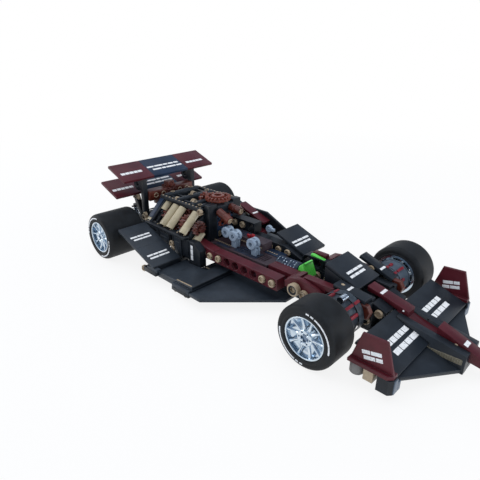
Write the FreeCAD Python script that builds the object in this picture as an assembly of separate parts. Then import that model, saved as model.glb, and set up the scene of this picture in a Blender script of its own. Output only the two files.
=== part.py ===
"""Toy open wheel racing car, built from studless beams, panels and pins on an 8 mm module.

+X points to the nose, +Y to the car's left and +Z up. The origin is on the floor,
under the middle of the car's overall length and width. All lengths are in millimetres.
"""
import FreeCAD, Part
import math
import os

from FreeCAD import Vector

# Driving dimensions of the whole car
wheelbase = 188.0
rear_overhang = 28.6
front_overhang = 68.4
track_rear = 95.0
track_front = 96.2
floor_width = 120.0
roof_height = 44.0
upper_wing_height = 67.0
lower_wing_height = 51.6
nose_deck_height = 36.4

# The building module and its fits
module = 8.0
beam_width = 7.8
pin_hole_radius = 2.45
panel_thickness = 2.0
panel_tilt = 20.0
seat_gap = 0.1

# Wheels
tyre_radius = 17.75
rear_tyre_width = 37.0
front_tyre_width = 20.4
tyre_shoulder = 1.8
rim_radius = 12.1
rim_wall = 0.9
rim_lip = 0.9
rim_inset = 1.3
spoke_count = 10
spoke_width = 1.5
spoke_depth = 1.6
spoke_dish = 1.4
hub_radius = 4.4
axle_radius = 2.3
axle_bore_radius = axle_radius + 0.06
axle_arm = 1.8

# Front suspension and steering
kingpin_offset = 12.0
kingpin_radius = 1.55
kingpin_bore_radius = kingpin_radius + 0.07
drum_radius = 11.2
drum_wall = 0.9
drum_length = 11.5
drum_flats = 16
drum_bar_count = 6
arm_spacing = 4.6
arm_thickness = 2.0

# Heights above the floor
floor_clearance = 6.0
rail_height = 14.0

# Engine cover
bank_length = 48.8
bar_radius = 2.8
gear_teeth = 14
gear_radius = 7.0
crown_teeth = 20
crown_radius = 9.5

overall_length = wheelbase + rear_overhang + front_overhang
rear_axle_x = rear_overhang - overall_length / 2
front_axle_x = rear_axle_x + wheelbase
axle_height = tyre_radius
kingpin_y = track_front / 2 - kingpin_offset
slope = math.sin(math.radians(panel_tilt))
fall = math.tan(math.radians(panel_tilt))
panel_depth = panel_thickness / math.cos(math.radians(panel_tilt))
half_beam = beam_width / 2
rail_y = 1.5 * module
rail_inner = rail_y - half_beam
rail_outer = rail_y + half_beam
rail_top = rail_height + half_beam
rail_bottom = rail_height - half_beam
deck_base = rail_top + seat_gap
floor_top = floor_clearance + panel_thickness
side_edge = floor_width / 2
side_wall_y = 4.2 * module
three_long = 3 * module - 0.2
five_long = 5 * module - 0.2

X_AXIS = Vector(1, 0, 0)
Y_AXIS = Vector(0, 1, 0)
Z_AXIS = Vector(0, 0, 1)
HERE = Vector(0, 0, 0)

nodes = {}


def rear(x):
    """A station measured forward from the rear axle."""
    return rear_axle_x + x


def front(x):
    """A station measured forward from the front axle."""
    return front_axle_x + x


def add(name, *solids):
    """Put solids into the node of that name."""
    nodes.setdefault(name, []).extend(solids)


def mirrored(shape):
    """The same piece on the other side of the car."""
    return shape.mirror(HERE, Y_AXIS)


def both_sides(name, *solids):
    """Put left-hand solids and their mirror images into one node."""
    for solid in solids:
        add(name, solid, mirrored(solid))


def block(x, y, z):
    """A box between the two limits given for each direction."""
    return Part.makeBox(x[1] - x[0], y[1] - y[0], z[1] - z[0], Vector(x[0], y[0], z[0]))


def rod(start, end, radius):
    """A round bar from one point to another."""
    path = Vector(*end) - Vector(*start)
    return Part.makeCylinder(radius, path.Length, Vector(*start), path)


def prism(points, direction):
    """A flat outline pushed along a direction."""
    corners = [Vector(*p) for p in points]
    return Part.Face(Part.makePolygon(corners + corners[:1])).extrude(Vector(*direction))


def side_profile(points, y):
    """An outline of (x, z) points in the side view, pushed between the two y limits."""
    return prism([(x, y[0], z) for x, z in points], (0, y[1] - y[0], 0))


def cross_profile(points, x):
    """An outline of (y, z) points in the front view, pushed between the two x limits."""
    return prism([(x[0], y, z) for y, z in points], (x[1] - x[0], 0, 0))


def moved(shape, x, y, z, turns=()):
    """Turn a shape about the origin by (axis, degrees) pairs, then carry it to its place."""
    for axis, angle in turns:
        shape.rotate(HERE, axis, angle)
    shape.translate(Vector(x, y, z))
    return shape


def beam(count, holes=(), round_ends=True):
    """A studless beam along X with pin holes along Y, its first hole position at the origin."""
    length = (count - 1) * module
    if round_ends:
        body = block((0, length), (-half_beam, half_beam), (-half_beam, half_beam))
        for x in (0, length):
            body = body.fuse(rod((x, -half_beam, 0), (x, half_beam, 0), half_beam))
        body = body.removeSplitter()
    else:
        ends = (-half_beam, length + half_beam)
        body = block(ends, (-half_beam, half_beam), (-half_beam, half_beam))
    for slot in holes:
        x = slot * module
        body = body.cut(rod((x, -module, 0), (x, module, 0), pin_hole_radius))
    return body


def tilted_panel(length, width, rear_edge, y, z, tilt=panel_tilt):
    """A flat panel whose top rear edge lies at rear_edge, z and which falls towards the nose."""
    panel = block((0, length), (-width / 2, width / 2), (-panel_thickness, 0))
    return moved(panel, rear_edge, y, z, [(Y_AXIS, tilt)])


def ring(profile):
    """Revolve (radius, y) points about the Y axis."""
    corners = [Vector(r, y, 0) for r, y in profile]
    return Part.Face(Part.makePolygon(corners + corners[:1])).revolve(HERE, Y_AXIS, 360)


def toothed_wheel(teeth, radius, width):
    """A gear along +Z from the origin: flat-topped teeth round a flat disc."""
    root = radius - 1.6
    pitch = 2 * math.pi / teeth
    points = []
    for tooth in range(teeth):
        # share of a tooth pitch, radius there
        for share, r in ((0.0, root), (0.18, radius), (0.42, radius), (0.6, root)):
            angle = (tooth + share) * pitch
            points.append((r * math.cos(angle), r * math.sin(angle), 0))
    return prism(points, (0, 0, width))


def cross_axle(length, gap=0.0):
    """A cross-shaped axle along +Z from the origin, its four arms just filling axle_radius."""
    half = axle_arm / 2 + gap
    tip = math.sqrt(axle_radius**2 - (axle_arm / 2) ** 2) + gap
    corners = []
    for turn in range(4):
        angle = turn * math.pi / 2
        c, s = math.cos(angle), math.sin(angle)
        for a, b in ((tip, -half), (tip, half), (half, half)):
            corners.append((a * c - b * s, a * s + b * c, 0))
    return prism(corners, (0, 0, length))


# --- Wheels ---


def tyre(width):
    """A slick tyre with flat tread, bevelled shoulders and flat side walls."""
    half = width / 2
    profile = [
        (rim_radius + seat_gap / 2, -half),
        (tyre_radius - tyre_shoulder * 0.7, -half),
        (tyre_radius, -half + tyre_shoulder),
    ]
    return ring(profile + [(r, -y) for r, y in reversed(profile)])


def rim(width):
    """A rim: barrel with twenty flats inside, ten dished spokes and a hub on its outer (+Y) side."""
    half = width / 2 - rim_inset
    inner = rim_radius - rim_wall
    flats = 2 * spoke_count
    reach = inner / math.cos(math.pi / flats)
    corners = []
    for index in range(flats):
        angle = 2 * math.pi * (index + 0.5) / flats
        corners.append((reach * math.cos(angle), -half - 1, reach * math.sin(angle)))
    body = rod((0, -half, 0), (0, half + rim_lip, 0), rim_radius)
    body = body.cut(prism(corners, (0, 2 * half + 4, 0)))
    low = hub_radius - 0.6
    spoke = prism(
        [
            (low, half - spoke_depth - spoke_dish, -spoke_width * 0.7),
            (inner + 0.3, half - spoke_depth, -spoke_width / 2),
            (inner + 0.3, half - spoke_depth, spoke_width / 2),
            (low, half - spoke_depth - spoke_dish, spoke_width * 0.7),
        ],
        (0, spoke_depth, 0),
    )
    for index in range(spoke_count):
        arm = spoke.copy()
        arm.rotate(HERE, Y_AXIS, 360.0 * index / spoke_count)
        body = body.fuse(arm)
    hub_corners = []
    for index in range(spoke_count):
        angle = 2 * math.pi * (index + 0.5) / spoke_count
        hub_corners.append((hub_radius * math.cos(angle), half - 4.0, hub_radius * math.sin(angle)))
    socket = moved(cross_axle(4.0, 0.02), 0, half - 5.0, 0, [(X_AXIS, -90)])
    return body.fuse(prism(hub_corners, (0, 4.3, 0))).cut(socket), half


def wheels():
    """Four wheels, each a tyre, a rim and the stub axle it turns on."""
    # name, axle station, track, tyre width, inner end of the stub axle
    for name, axle_x, track, width, inner in (
        ("front", front_axle_x, track_front, front_tyre_width, kingpin_y + half_beam),
        ("rear", rear_axle_x, track_rear, rear_tyre_width, rail_inner),
    ):
        body, half = rim(width)
        middle = track / 2
        stub_start = inner - middle
        stub = moved(cross_axle(half - 1.0 - stub_start), 0, stub_start, 0, [(X_AXIS, -90)])
        for piece, shape in (("tyre", tyre(width)), ("rim", body), ("axle", stub)):
            placed = moved(shape, axle_x, middle, axle_height)
            add(f"wheel_{name}_left_{piece}", placed)
            add(f"wheel_{name}_right_{piece}", mirrored(placed))


# --- Suspension ---


def knuckles():
    """Steering knuckles: kingpin barrel and axle boss, with the brake drum round them."""
    barrel_half = arm_spacing - arm_thickness / 2 - seat_gap
    barrel = rod((0, 0, -barrel_half), (0, 0, barrel_half), kingpin_bore_radius + 1.7)
    boss_half = barrel_half - seat_gap
    body = barrel.fuse(block((-boss_half, boss_half), (0, 10.5), (-boss_half, boss_half)))
    body = body.cut(rod((0, 0, -module), (0, 0, module), kingpin_bore_radius))
    body = body.cut(rod((0, half_beam - seat_gap, 0), (0, 2 * module, 0), axle_bore_radius))
    face = 1.0
    inner = drum_radius - drum_wall
    corners = []
    for index in range(drum_flats):
        angle = 2 * math.pi * (index + 0.5) / drum_flats
        corners.append((inner * math.cos(angle), face - drum_length - 1, inner * math.sin(angle)))
    drum = rod((0, face - drum_length, 0), (0, face, 0), drum_radius)
    drum = drum.cut(prism(corners, (0, drum_length + 2, 0)))
    barrel_side = kingpin_bore_radius + 1.7 + seat_gap
    for side in (-1, 1):
        web = block(sorted((side * barrel_side, side * inner)), (-1.6, face), (-1.6, 1.6))
        drum = drum.fuse(web)
    bars = []
    for index in range(drum_bar_count):
        bar = block(
            (drum_radius + seat_gap, drum_radius + 1.2),
            (face - drum_length + 1.5, face - 0.8),
            (-0.9, 0.9),
        )
        bar.rotate(HERE, Y_AXIS, 360.0 * (index + 0.5) / drum_bar_count)
        bars.append(bar)
    for piece, solids in (("knuckle", [body]), ("drum", [drum]), ("drum_bars", bars)):
        for solid in solids:
            placed = moved(solid.copy(), front_axle_x, kingpin_y, axle_height)
            add(f"{piece}_left", placed)
            add(f"{piece}_right", mirrored(placed))


def front_wishbones():
    """An upper and a lower forked arm on each side, joined by the kingpin they hold."""
    reach = kingpin_y - rail_outer
    fork = 1.5 * module
    neck = drum_length + 1.0
    pin = rod((0, 0, -arm_spacing), (0, 0, arm_spacing), kingpin_radius)
    for level in (-1, 1):
        arm = prism(
            [
                (-2.4, 2.6, 0),
                (-3.2, 0.6, 0),
                (-3.0, -neck, 0),
                (-fork, -reach, 0),
                (-fork + 4.5, -reach, 0),
                (0, -neck - 1.5, 0),
                (fork - 4.5, -reach, 0),
                (fork, -reach, 0),
                (3.0, -neck, 0),
                (3.2, 0.6, 0),
                (2.4, 2.6, 0),
            ],
            (0, 0, arm_thickness),
        )
        pin = pin.fuse(moved(arm, 0, 0, level * arm_spacing - arm_thickness / 2))
    both_sides("wishbones", moved(pin, front_axle_x, kingpin_y, axle_height))


def rear_suspension():
    """The gearbox case that carries the rear axles, with hub carriers and wide arms outboard."""
    case = side_profile(
        [
            (rear(-1.4 * module), rail_bottom),
            (rear(-1.4 * module), rail_top),
            (rear(-0.7 * module), rail_top + module),
            (rear(1.25 * module), rail_top + module),
            (rear(1.25 * module), rail_bottom),
        ],
        (-rail_outer, rail_outer),
    )
    bore = rod((rear_axle_x, -40, axle_height), (rear_axle_x, 40, axle_height), axle_bore_radius)
    add("rear_gearbox", case.cut(bore))
    carrier_y = track_rear / 2 - rear_tyre_width / 2 - 7.0
    rise = module + 0.5
    hexagon = [(-3.4, -rise), (-5.4, 0), (-3.4, rise), (3.4, rise), (5.4, 0), (3.4, -rise)]
    carrier = side_profile(hexagon, (0, 5))
    carrier = moved(carrier, rear_axle_x, carrier_y, axle_height)
    both_sides("rear_hub_carriers", carrier.cut(bore))
    for z in (axle_height + rise - 2.6, axle_height - rise + 0.2):
        arm = prism(
            [
                (rear(-9.5), rail_outer + seat_gap, z),
                (rear(9.5), rail_outer + seat_gap, z),
                (rear(3.2), carrier_y - seat_gap, z),
                (rear(-3.2), carrier_y - seat_gap, z),
            ],
            (0, 0, 2.4),
        )
        both_sides("wishbones", arm)


# --- Frame, floor and side panels ---


def rails():
    """Two long beams that carry everything, the beams between them and the front towers."""
    start = rear(1.25 * module) + half_beam + seat_gap
    count = int((front(2.0 * module) - start) / module) + 1
    both_sides("lower_rails", moved(beam(count, round_ends=False), start, rail_y, rail_height))
    span = (seat_gap - rail_inner, rail_inner - seat_gap)
    for x in (rear(2.8 * module), rear(8.5 * module), rear(16.5 * module), front(0)):
        add("cross_beams", block((x - half_beam, x + half_beam), span, (rail_bottom, rail_top)))
    top = axle_height + arm_spacing + arm_thickness
    fork = 1.5 * module
    tower = block((front(-fork), front(fork)), (rail_outer - 3.4, rail_outer - seat_gap), (deck_base, top))
    both_sides("cross_beams", tower)


def left_wall():
    """The beams stacked on the left rail, which close the far side of the cockpit."""
    # first hole in modules from the rear axle, number of holes, row above the rail
    for x, count, row in ((9.6, 8, 1), (9.6, 3, 2), (17.6, 3, 1)):
        z = rail_height + row * (beam_width + seat_gap)
        wall = moved(beam(count), rear(x * module), rail_y, z)
        add("left_wall_beams", wall.cut(above_side_deck()))


def side_deck():
    """The sloping deck over the left side of the cockpit: start, length, middle and height."""
    return rear(13.88 * module), 3.4 * module - 0.2, 3 * module, 32.0


def above_side_deck():
    """All the room above the underside of the side deck, less the seating gap."""
    start, length, middle, height = side_deck()
    low = height - panel_depth - seat_gap
    run = length * 1.2
    return side_profile(
        [(start - 1, low + fall), (start - 1, 70), (start + run, 70), (start + run, low - run * fall)],
        (middle - three_long / 2 - seat_gap, middle + three_long / 2 + seat_gap),
    )


def floor():
    """The flat floor under the rails and the stepped panels and edge beams at its sides."""
    low = floor_clearance
    tub_end = front(2.5 * module)
    tub_height = (floor_top + seat_gap, rail_bottom - seat_gap)
    tub = block((rear(-1.4 * module), tub_end), (-rail_outer, rail_outer), tub_height)
    add("floor_tub", tub)
    split_x = rear(12.6 * module)
    wide_x = rear(13.9 * module)
    nose_x = rear(18.6 * module)
    nose_y = 2.8 * module
    plate = prism(
        [
            (split_x, -side_edge, low),
            (split_x, side_edge, low),
            (wide_x, side_edge, low),
            (nose_x, nose_y, low),
            (nose_x, -nose_y, low),
            (wide_x, -side_edge, low),
        ],
        (0, 0, panel_thickness),
    )
    add("floor_plates", plate)
    bridge = block((rear(9.9 * module), split_x - seat_gap), (-side_wall_y, side_wall_y), (low, floor_top))
    add("floor_plates", bridge)
    middle_x = rear(6.9 * module)
    middle_tilt = 5.5
    middle_length = (split_x - seat_gap - middle_x) / math.cos(math.radians(middle_tilt))
    middle_y = side_edge - 1.5 * module - 2.4
    middle = tilted_panel(middle_length, three_long, middle_x, middle_y, 12.5, tilt=middle_tilt)
    both_sides("side_panels", middle)
    upper = tilted_panel(five_long, three_long, rear(2.5 * module), side_edge - 1.5 * module, 28.2)
    both_sides("side_panels", upper)
    # start and end in modules from the rear axle, bottom and top of each edge beam
    for start, end, bottom, height in ((6.3, 8.1, 6.2, 9.6), (10.3, 12.5, 4.0, 6.0)):
        span = (rear(start * module), rear(end * module))
        edge = block(span, (side_edge - 4.0, side_edge), (bottom, height))
        both_sides("edge_beams", edge)
    arm_x = rear(7.0 * module)
    arm = block(
        (arm_x - half_beam, arm_x + half_beam),
        (rail_outer + seat_gap, side_edge - 4.0 - seat_gap),
        (floor_clearance + 0.2, floor_clearance + 3.6),
    )
    both_sides("edge_beams", arm)


def side_walls():
    """The upright dark panels outboard of the engine, and the fairing in front of them."""
    y = (side_wall_y - panel_thickness, side_wall_y)
    top = 3.25 * module + 0.2
    # start and end from the rear axle, foot of the wall
    for start, end, foot in ((26.0, 47.0, 15.0), (49.6, 68.2, 12.4)):
        both_sides("side_walls", block((rear(start), rear(end)), y, (foot, top)))
    fairing = side_profile(
        [(rear(68.6), 9.0), (rear(68.6), top), (rear(75), top), (rear(81), 21.5), (rear(81), 9.0)],
        (3 * module + half_beam + seat_gap, y[1]),
    )
    both_sides("side_walls", fairing)


def red_side_beams():
    """The dark red beams and wedges along the cockpit sides."""
    y = 3 * module
    z = rail_height + 0.6 * module
    beam_x = rear(11.7 * module)
    # side of the car, height of the beam on that side
    for side, beam_z in ((-1, z), (1, z - half_beam)):
        long_beam = moved(beam(7, (1, 2, 3, 4), round_ends=False), beam_x, y, beam_z)
        long_beam = mirrored(long_beam) if side < 0 else long_beam.cut(above_side_deck())
        add("side_beams_red", long_beam)
    back = side_profile(
        [
            (rear(8.45 * module), z + 6.5),
            (rear(11.15 * module), z + half_beam),
            (rear(11.15 * module), z - half_beam),
            (rear(8.45 * module), z - half_beam),
        ],
        (y - half_beam, y + half_beam),
    )
    both_sides("side_wedges_red", back)
    foot = z - half_beam
    fairing = side_profile(
        [
            (rear(18.8 * module), foot),
            (rear(18.9 * module), foot + 5.0),
            (rear(20.0 * module), foot + 12.9),
            (front(-8.0), foot + 12.9),
            (front(-7.0), foot + 9.3),
            (front(-12.6), foot + 9.3),
            (front(-14.0), foot),
        ],
        (rail_outer + seat_gap, rail_outer + 5.0),
    )
    both_sides("side_wedges_red", fairing)
    ledge = block((rear(16.0 * module), rear(18.6 * module)), (-rail_outer, -rail_inner), (deck_base, 22.6))
    add("side_wedges_red", ledge)
    deck = tilted_panel(25.4, 1.5 * module, rear(67.2), 26.0, 37.2, tilt=17.5)
    add("side_wedges_red", deck)
    strut = block((rear(67.0), rear(72.0)), (rail_outer + seat_gap, 21.5), (28.0, 33.4))
    add("cross_beams", strut)


def cockpit():
    """What shows inside the open cockpit: drive unit, levers, control block and seat block."""
    base = deck_base
    unit_top = base + 3.4
    side = (seat_gap * 2 - rail_outer, rail_inner - 1.5)
    unit = block((rear(72.0), rear(126.6)), side, (base, unit_top))
    hump = block((rear(76.8), rear(112.0)), (-0.4 * module, side[1]), (unit_top - 1, base + 9.5))
    unit = unit.fuse(hump).removeSplitter()
    # first grille slot from the rear axle, number of slots
    for start, count in ((95.0, 4), (112.5, 5)):
        for slot in range(count):
            x = rear(start + 2.0 * slot)
            unit = unit.cut(block((x, x + 1.0), (-12.6, -4.0), (unit_top - 0.8, unit_top + 1)))
    add("drive_unit", unit)
    # station of the stem, its top, and the round heads as (offset, height above the stem) pairs
    for x, top, heads in ((91.5, 6.5, ((-1.0, 1.2), (-8.0, 3.2))), (109.0, 6.0, ((-2.2, 1.6),))):
        stem = block((rear(x) - 2.3, rear(x) + 2.3), (-11.5, -6.5), (unit_top, unit_top + top))
        for offset, height in heads:
            z = unit_top + top + height
            head = rod((rear(x + offset), -12.2, z), (rear(x + offset), -5.8, z), 4.0)
            stem = stem.fuse(head)
        add("levers", stem.removeSplitter())
    barrel = rod((rear(127.2), -3.2, base + 1.0), (rear(144.6), -3.2, base + 1.0), 5.6)
    barrel = barrel.common(block((rear(120), rear(150)), (-rail_inner + seat_gap, side[1]), (base, 40)))
    add("control_block", barrel)
    seat = side_profile(
        [(rear(144.9), base), (rear(146.2), base + 7.0), (rear(149.0), base + 9.4), (rear(153.4), base)],
        (-rail_inner + seat_gap, 0.3 * module),
    )
    add("seat_block", seat)


# --- Engine cover ---


def engine():
    """The engine between two sloping banks: rails, half-round bars, end frames and roof beams."""
    top_y = 2.4 * module
    low_y = 4.2 * module
    low_z = 27.4
    start = rear(2.2 * module)
    end = start + bank_length
    top_rail = block((start, end), (top_y - 3.0, top_y), (roof_height - 1.5, roof_height + 1.5))
    low_rail = block((start, end), (low_y - 3.4, side_edge - three_long - 0.3), (low_z - 1.0, low_z + 0.8))
    both_sides("bank_rails", top_rail, low_rail)
    top_end = (top_y - 1.2, roof_height - 3.0)
    low_end = (low_y - 1.6, low_z + 1.1)
    run = low_end[0] - top_end[0]
    drop = top_end[1] - low_end[1]
    length = math.hypot(run, drop)
    lean = math.degrees(math.atan2(drop, run))
    # station of each bar from the rear axle
    for x in (37.0, 45.0, 60.5):
        bar = Part.makeCylinder(bar_radius, length, HERE, Z_AXIS, 180)
        bar = moved(bar, rear(x), top_end[0], top_end[1], [(Z_AXIS, 180), (X_AXIS, -90 - lean)])
        both_sides("bank_bars", bar)
    back = [
        (top_y - 3.2, roof_height - 1.7),
        (top_y - 0.1, roof_height - 1.7),
        (low_y - 0.2, low_z + 0.9),
        (low_y - 3.6, low_z + 0.9),
    ]
    both_sides("bank_frames", cross_profile(back, (start, start + 6.4)))
    shaft_y = 2.65 * module
    shaft_z = 31.5
    frame_outline = [
        (12.1, deck_base),
        (12.1, roof_height - 2.6),
        (top_y - 3.3, roof_height - 2.6),
        (low_y - 3.7, low_z + 0.9),
        (low_y - 3.7, low_z - 6.0),
        (rail_outer, deck_base),
    ]
    for x in (start + 6.8, end - 2.0):
        both_sides("bank_frames", cross_profile(frame_outline, (x, x + 2.0)))
    post = block((end + seat_gap, end + 5.0), (rail_inner, rail_outer), (deck_base, roof_height + 4.0))
    both_sides("bank_frames", post)
    core = block((start, end), (-12.0, 12.0), (deck_base, roof_height - 5.0))
    add("engine_block", core)
    side = top_y - 3.1
    # station of each roof beam from the rear axle
    for x in (20.5, 36.8, 52.8, 60.8):
        outline = []
        for a, b in ((-2.4, 1.4), (-1.4, 2.4), (1.4, 2.4), (2.4, 1.4), (2.4, -2.0), (-2.4, -2.0)):
            outline.append((rear(x + a), roof_height + b))
        add("roof_beams", side_profile(outline, (-side, side)))
    shaft_start = start + 8.9
    shaft = moved(cross_axle(end - 2.1 - shaft_start), shaft_start, shaft_y, shaft_z, [(Y_AXIS, 90)])
    # station, number of teeth, radius and width of the wheels on the shaft
    for x, teeth, radius, width in ((27.0, 8, 5.0, 4.5), (50.4, gear_teeth, gear_radius, 5.0)):
        wheel = toothed_wheel(teeth, radius, width)
        shaft = shaft.fuse(moved(wheel, rear(x), shaft_y, shaft_z, [(Y_AXIS, 90)]))
    both_sides("engine_gears", shaft)
    front_gear = toothed_wheel(gear_teeth, gear_radius - 1.0, 5.0).fuse(cross_axle(6.4))
    front_gear = moved(front_gear, end + seat_gap, 23.2, shaft_z + 0.2, [(Y_AXIS, 90)])
    add("engine_gears", mirrored(front_gear))


def roof_gears():
    """The crown gear and its pinion on top of the engine, and the round connectors ahead of them."""
    top = roof_height - 5.0 + seat_gap
    end = rear(2.2 * module) + bank_length
    side = rail_inner - seat_gap
    bridge_top = roof_height + 2.4
    bridge = block((rear(63.4), end + 6.0), (-side, side), (top, bridge_top))
    add("roof_beams", bridge)
    crown = toothed_wheel(crown_teeth, crown_radius, 3.0)
    crown = moved(crown, 0, 0, 1.6).fuse(rod((0, 0, 0), (0, 0, 5.2), 5.0))
    add("roof_gears", moved(crown, rear(63.5), 0, bridge_top + seat_gap))
    pinion = toothed_wheel(10, 5.2, 2.8)
    add("roof_gears", moved(pinion, rear(47.4), 0, roof_height + 1.6, [(Y_AXIS, 90)]))
    # length, side position, height and downward tilt of the connectors
    for length, y, z, tilt in ((12.0, -8.2, 42.8, 20), (17.0, 4.4, 43.4, 0)):
        connector = Part.makeCylinder(3.3, length)
        lead = end + 6.1 + 3.3 * math.sin(math.radians(tilt))
        add("roof_gears", moved(connector, lead, y, z, [(Y_AXIS, 90 + tilt)]))


# --- Wings and nose ---


def rear_wing():
    """Two tilted planes on thin uprights, with half-round plates, lower arms and a cross beam."""
    width = 11 * module - 0.2
    seam = 2.1 * module
    everything = (-overall_length, overall_length)
    # rear edge from the rear axle, height of that edge
    upper_edge = -13.7
    lower_edge = panel_thickness * slope - rear_overhang
    for x, z in ((upper_edge, upper_wing_height), (lower_edge, lower_wing_height)):
        plane = tilted_panel(three_long, width, rear(x), 0, z)
        add("rear_wing_centers", plane.common(block(everything, (-seam, seam), (0, 100))))
        for span in ((-width, -seam), (seam, width)):
            add("rear_wing_tips", plane.common(block(everything, span, (0, 100))))
    station = 3.0
    upright_x = rear(station)
    half = half_beam / 2
    fit = 0.17
    y = (22.0, 22.0 + 4.0)
    foot = axle_height + module + 0.6
    upright = side_profile(
        [
            (upright_x - half, foot),
            (upright_x - half, upper_wing_height - (station - upper_edge - half) * fall - panel_depth - fit),
            (upright_x + half, upper_wing_height - (station - upper_edge + half) * fall - panel_depth - fit),
            (upright_x + half, foot),
        ],
        y,
    )
    both_sides("wing_uprights", upright)
    edge = upright_x - half - seat_gap
    plate = rod((edge - 5.0, y[0] + 0.5, 51.0), (edge - 5.0, y[1] - 0.5, 51.0), 5.0)
    plate = plate.fuse(block((edge - 5.0, edge), (y[0] + 0.5, y[1] - 0.5), (46.0, 56.0))).removeSplitter()
    plate = plate.cut(rod((edge - 5.0, 0, 51.0), (edge - 5.0, 40, 51.0), 1.6))
    both_sides("wing_uprights", plate)
    arm = side_profile(
        [
            (rear(-12.0), lower_wing_height - (-12.0 - lower_edge) * fall - panel_depth - fit),
            (rear(-7.4), lower_wing_height - (-7.4 - lower_edge) * fall - panel_depth - fit),
            (rear(-4.0), 34.0),
            (edge, foot),
            (rear(-3.4), foot),
            (rear(-8.4), 34.0),
        ],
        y,
    )
    both_sides("wing_uprights", arm)
    beam_side = y[0] - seat_gap
    for side in (-1, 1):
        span = sorted((side * 5.0, side * beam_side))
        segment = block((upright_x - half_beam, upright_x + half_beam), span, (38.2, 46.0))
        add("wing_cross_beam", segment)
    add("wing_cross_beam", block((rear(-0.5), rear(6.0)), (-13.6, -7.6), (33.6, 38.1)))
    drive = rod((upright_x, -4.8, 42.6), (upright_x, 4.8, 42.6), 5.4)
    drive = drive.fuse(block((upright_x - 2.6, upright_x + 3.6), (-3.4, 3.4), (42.0, 51.0)))
    add("wing_drive", drive.removeSplitter())


def nose():
    """Nose decks, their side walls, the stepped red spine and the fairings beside it."""
    # length, width, rear edge, middle, height of the rear edge
    start, length, middle, height = side_deck()
    for size, width, x, y, z in (
        (three_long, three_long, front(-20.0), 0.0, nose_deck_height),
        (three_long, module - 0.4, front(-13.9), 2.5 * module, 34.0),
        (length, three_long, start, middle, height),
    ):
        add("top_decks", tilted_panel(size, width, x, y, z))
    shelf = side_profile(
        [(front(-9.0), 30.2), (front(11.0), 27.6), (front(11.0), 25.4), (front(-9.0), 28.0)],
        (-rail_outer - 4.0, -12.3),
    )
    add("top_decks", shelf)
    under = panel_depth + 0.2
    wall = side_profile(
        [
            (front(-20.0), deck_base),
            (front(-20.0), nose_deck_height - under),
            (front(2.4), nose_deck_height - 22.4 * fall - under),
            (front(11.0), 25.2),
            (front(11.0), deck_base),
        ],
        (rail_inner, 12.1),
    )
    both_sides("nose_walls", wall)
    fairing = side_profile(
        [(front(11.2), 23.6), (front(19.8), 20.8), (front(19.8), deck_base), (front(11.2), deck_base)],
        (half_beam + seat_gap, 12.1),
    )
    both_sides("nose_walls", fairing)
    side = (-half_beam, half_beam)
    # outline of each step of the spine, from the front axle and above the floor
    for outline in (
        [(3.4, 27.6), (28.4, 21.6), (28.4, 18.4), (20.4, 20.5), (11.2, 23.5), (3.4, 24.4)],
        [(22.0, 19.9), (28.5, 18.2), (52.4, 11.6), (52.4, 9.0), (22.0, 14.2)],
        [
            (44.0, 20.0),
            (front_overhang, 11.2),
            (front_overhang, 6.5),
            (52.6, 8.8),
            (52.6, 11.7),
            (44.0, 14.1),
        ],
    ):
        add("nose_spine", side_profile([(front(x), z) for x, z in outline], side))
    keel = [(20.6, 14.0), (52.4, 8.8), (61.0, 6.8), (61.0, 3.0), (20.6, floor_top)]
    add("nose_walls", side_profile([(front(x), z) for x, z in keel], side))


def front_wing():
    """Two tilted planes, channels and swept flaps ahead of them, end plates and their feet."""
    tip_y = 5.5 * module
    inner_y = half_beam + 5.0
    plane_x, plane_z = front(20.7), 20.3
    root_y = half_beam + seat_gap
    wing = tilted_panel(three_long, tip_y - root_y, plane_x, (tip_y + root_y) / 2, plane_z)
    both_sides("front_wing_planes", wing)
    edge_x = plane_x + three_long * math.cos(math.radians(panel_tilt)) + 0.2
    lap = 1.5
    edge_z = plane_z - (edge_x - plane_x) * fall
    channel = side_profile(
        [
            (front(24.0), 19.4),
            (front(61.0), 13.4),
            (front(61.0), 2.6),
            (edge_x, 2.6),
            (edge_x, edge_z + 0.1),
            (front(24.0), plane_z - 3.3 * fall + 0.1),
        ],
        (half_beam + seat_gap, inner_y),
    )
    both_sides("front_wing_channels", channel)
    flap = prism(
        [
            (edge_x - lap, tip_y - 0.5, 10.1),
            (edge_x - lap, inner_y + seat_gap, 10.1),
            (front(60.0), inner_y + seat_gap, 5.2),
        ],
        (0, 0, -panel_thickness),
    )
    both_sides("front_wing_channels", flap)
    outline = [(front(21.0), 14.4), (front(25.5), 29.6), (front(38.0), 30.4), (front(43.0), 14.4)]
    plate = side_profile(outline, (46.4, 48.0))
    base = block((front(20.5), front(45.5)), (tip_y + seat_gap, 50.2), (12.2, 14.4))
    both_sides("front_endplates", plate.fuse(base))
    both_sides("endplate_rollers", rod((front(24.4), 47.0, 4.0), (front(24.4), 47.0, 12.1), 3.6))
    both_sides("endplate_blocks", block((front(28.8), front(34.8)), (44.2, 50.0), (4.0, 12.1)))
    both_sides("endplate_weights", block((front(35.6), front(44.8)), (44.2, 50.0), (3.0, 12.1)))


def main():
    """Build every node and write it to its own file."""
    for stage in (
        wheels,
        knuckles,
        front_wishbones,
        rear_suspension,
        rails,
        left_wall,
        floor,
        side_walls,
        red_side_beams,
        cockpit,
        engine,
        roof_gears,
        rear_wing,
        nose,
        front_wing,
    ):
        stage()
    os.makedirs("parts", exist_ok=True)
    for name, solids in nodes.items():
        shape = solids[0] if len(solids) == 1 else Part.makeCompound(solids)
        shape.exportStep(f"parts/{name}.step")
        print(name, len(shape.Solids), round(shape.Volume / 1000, 2))


main()
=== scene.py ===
import math
import random

import bmesh
import bpy
from mathutils import Matrix, Vector


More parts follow.
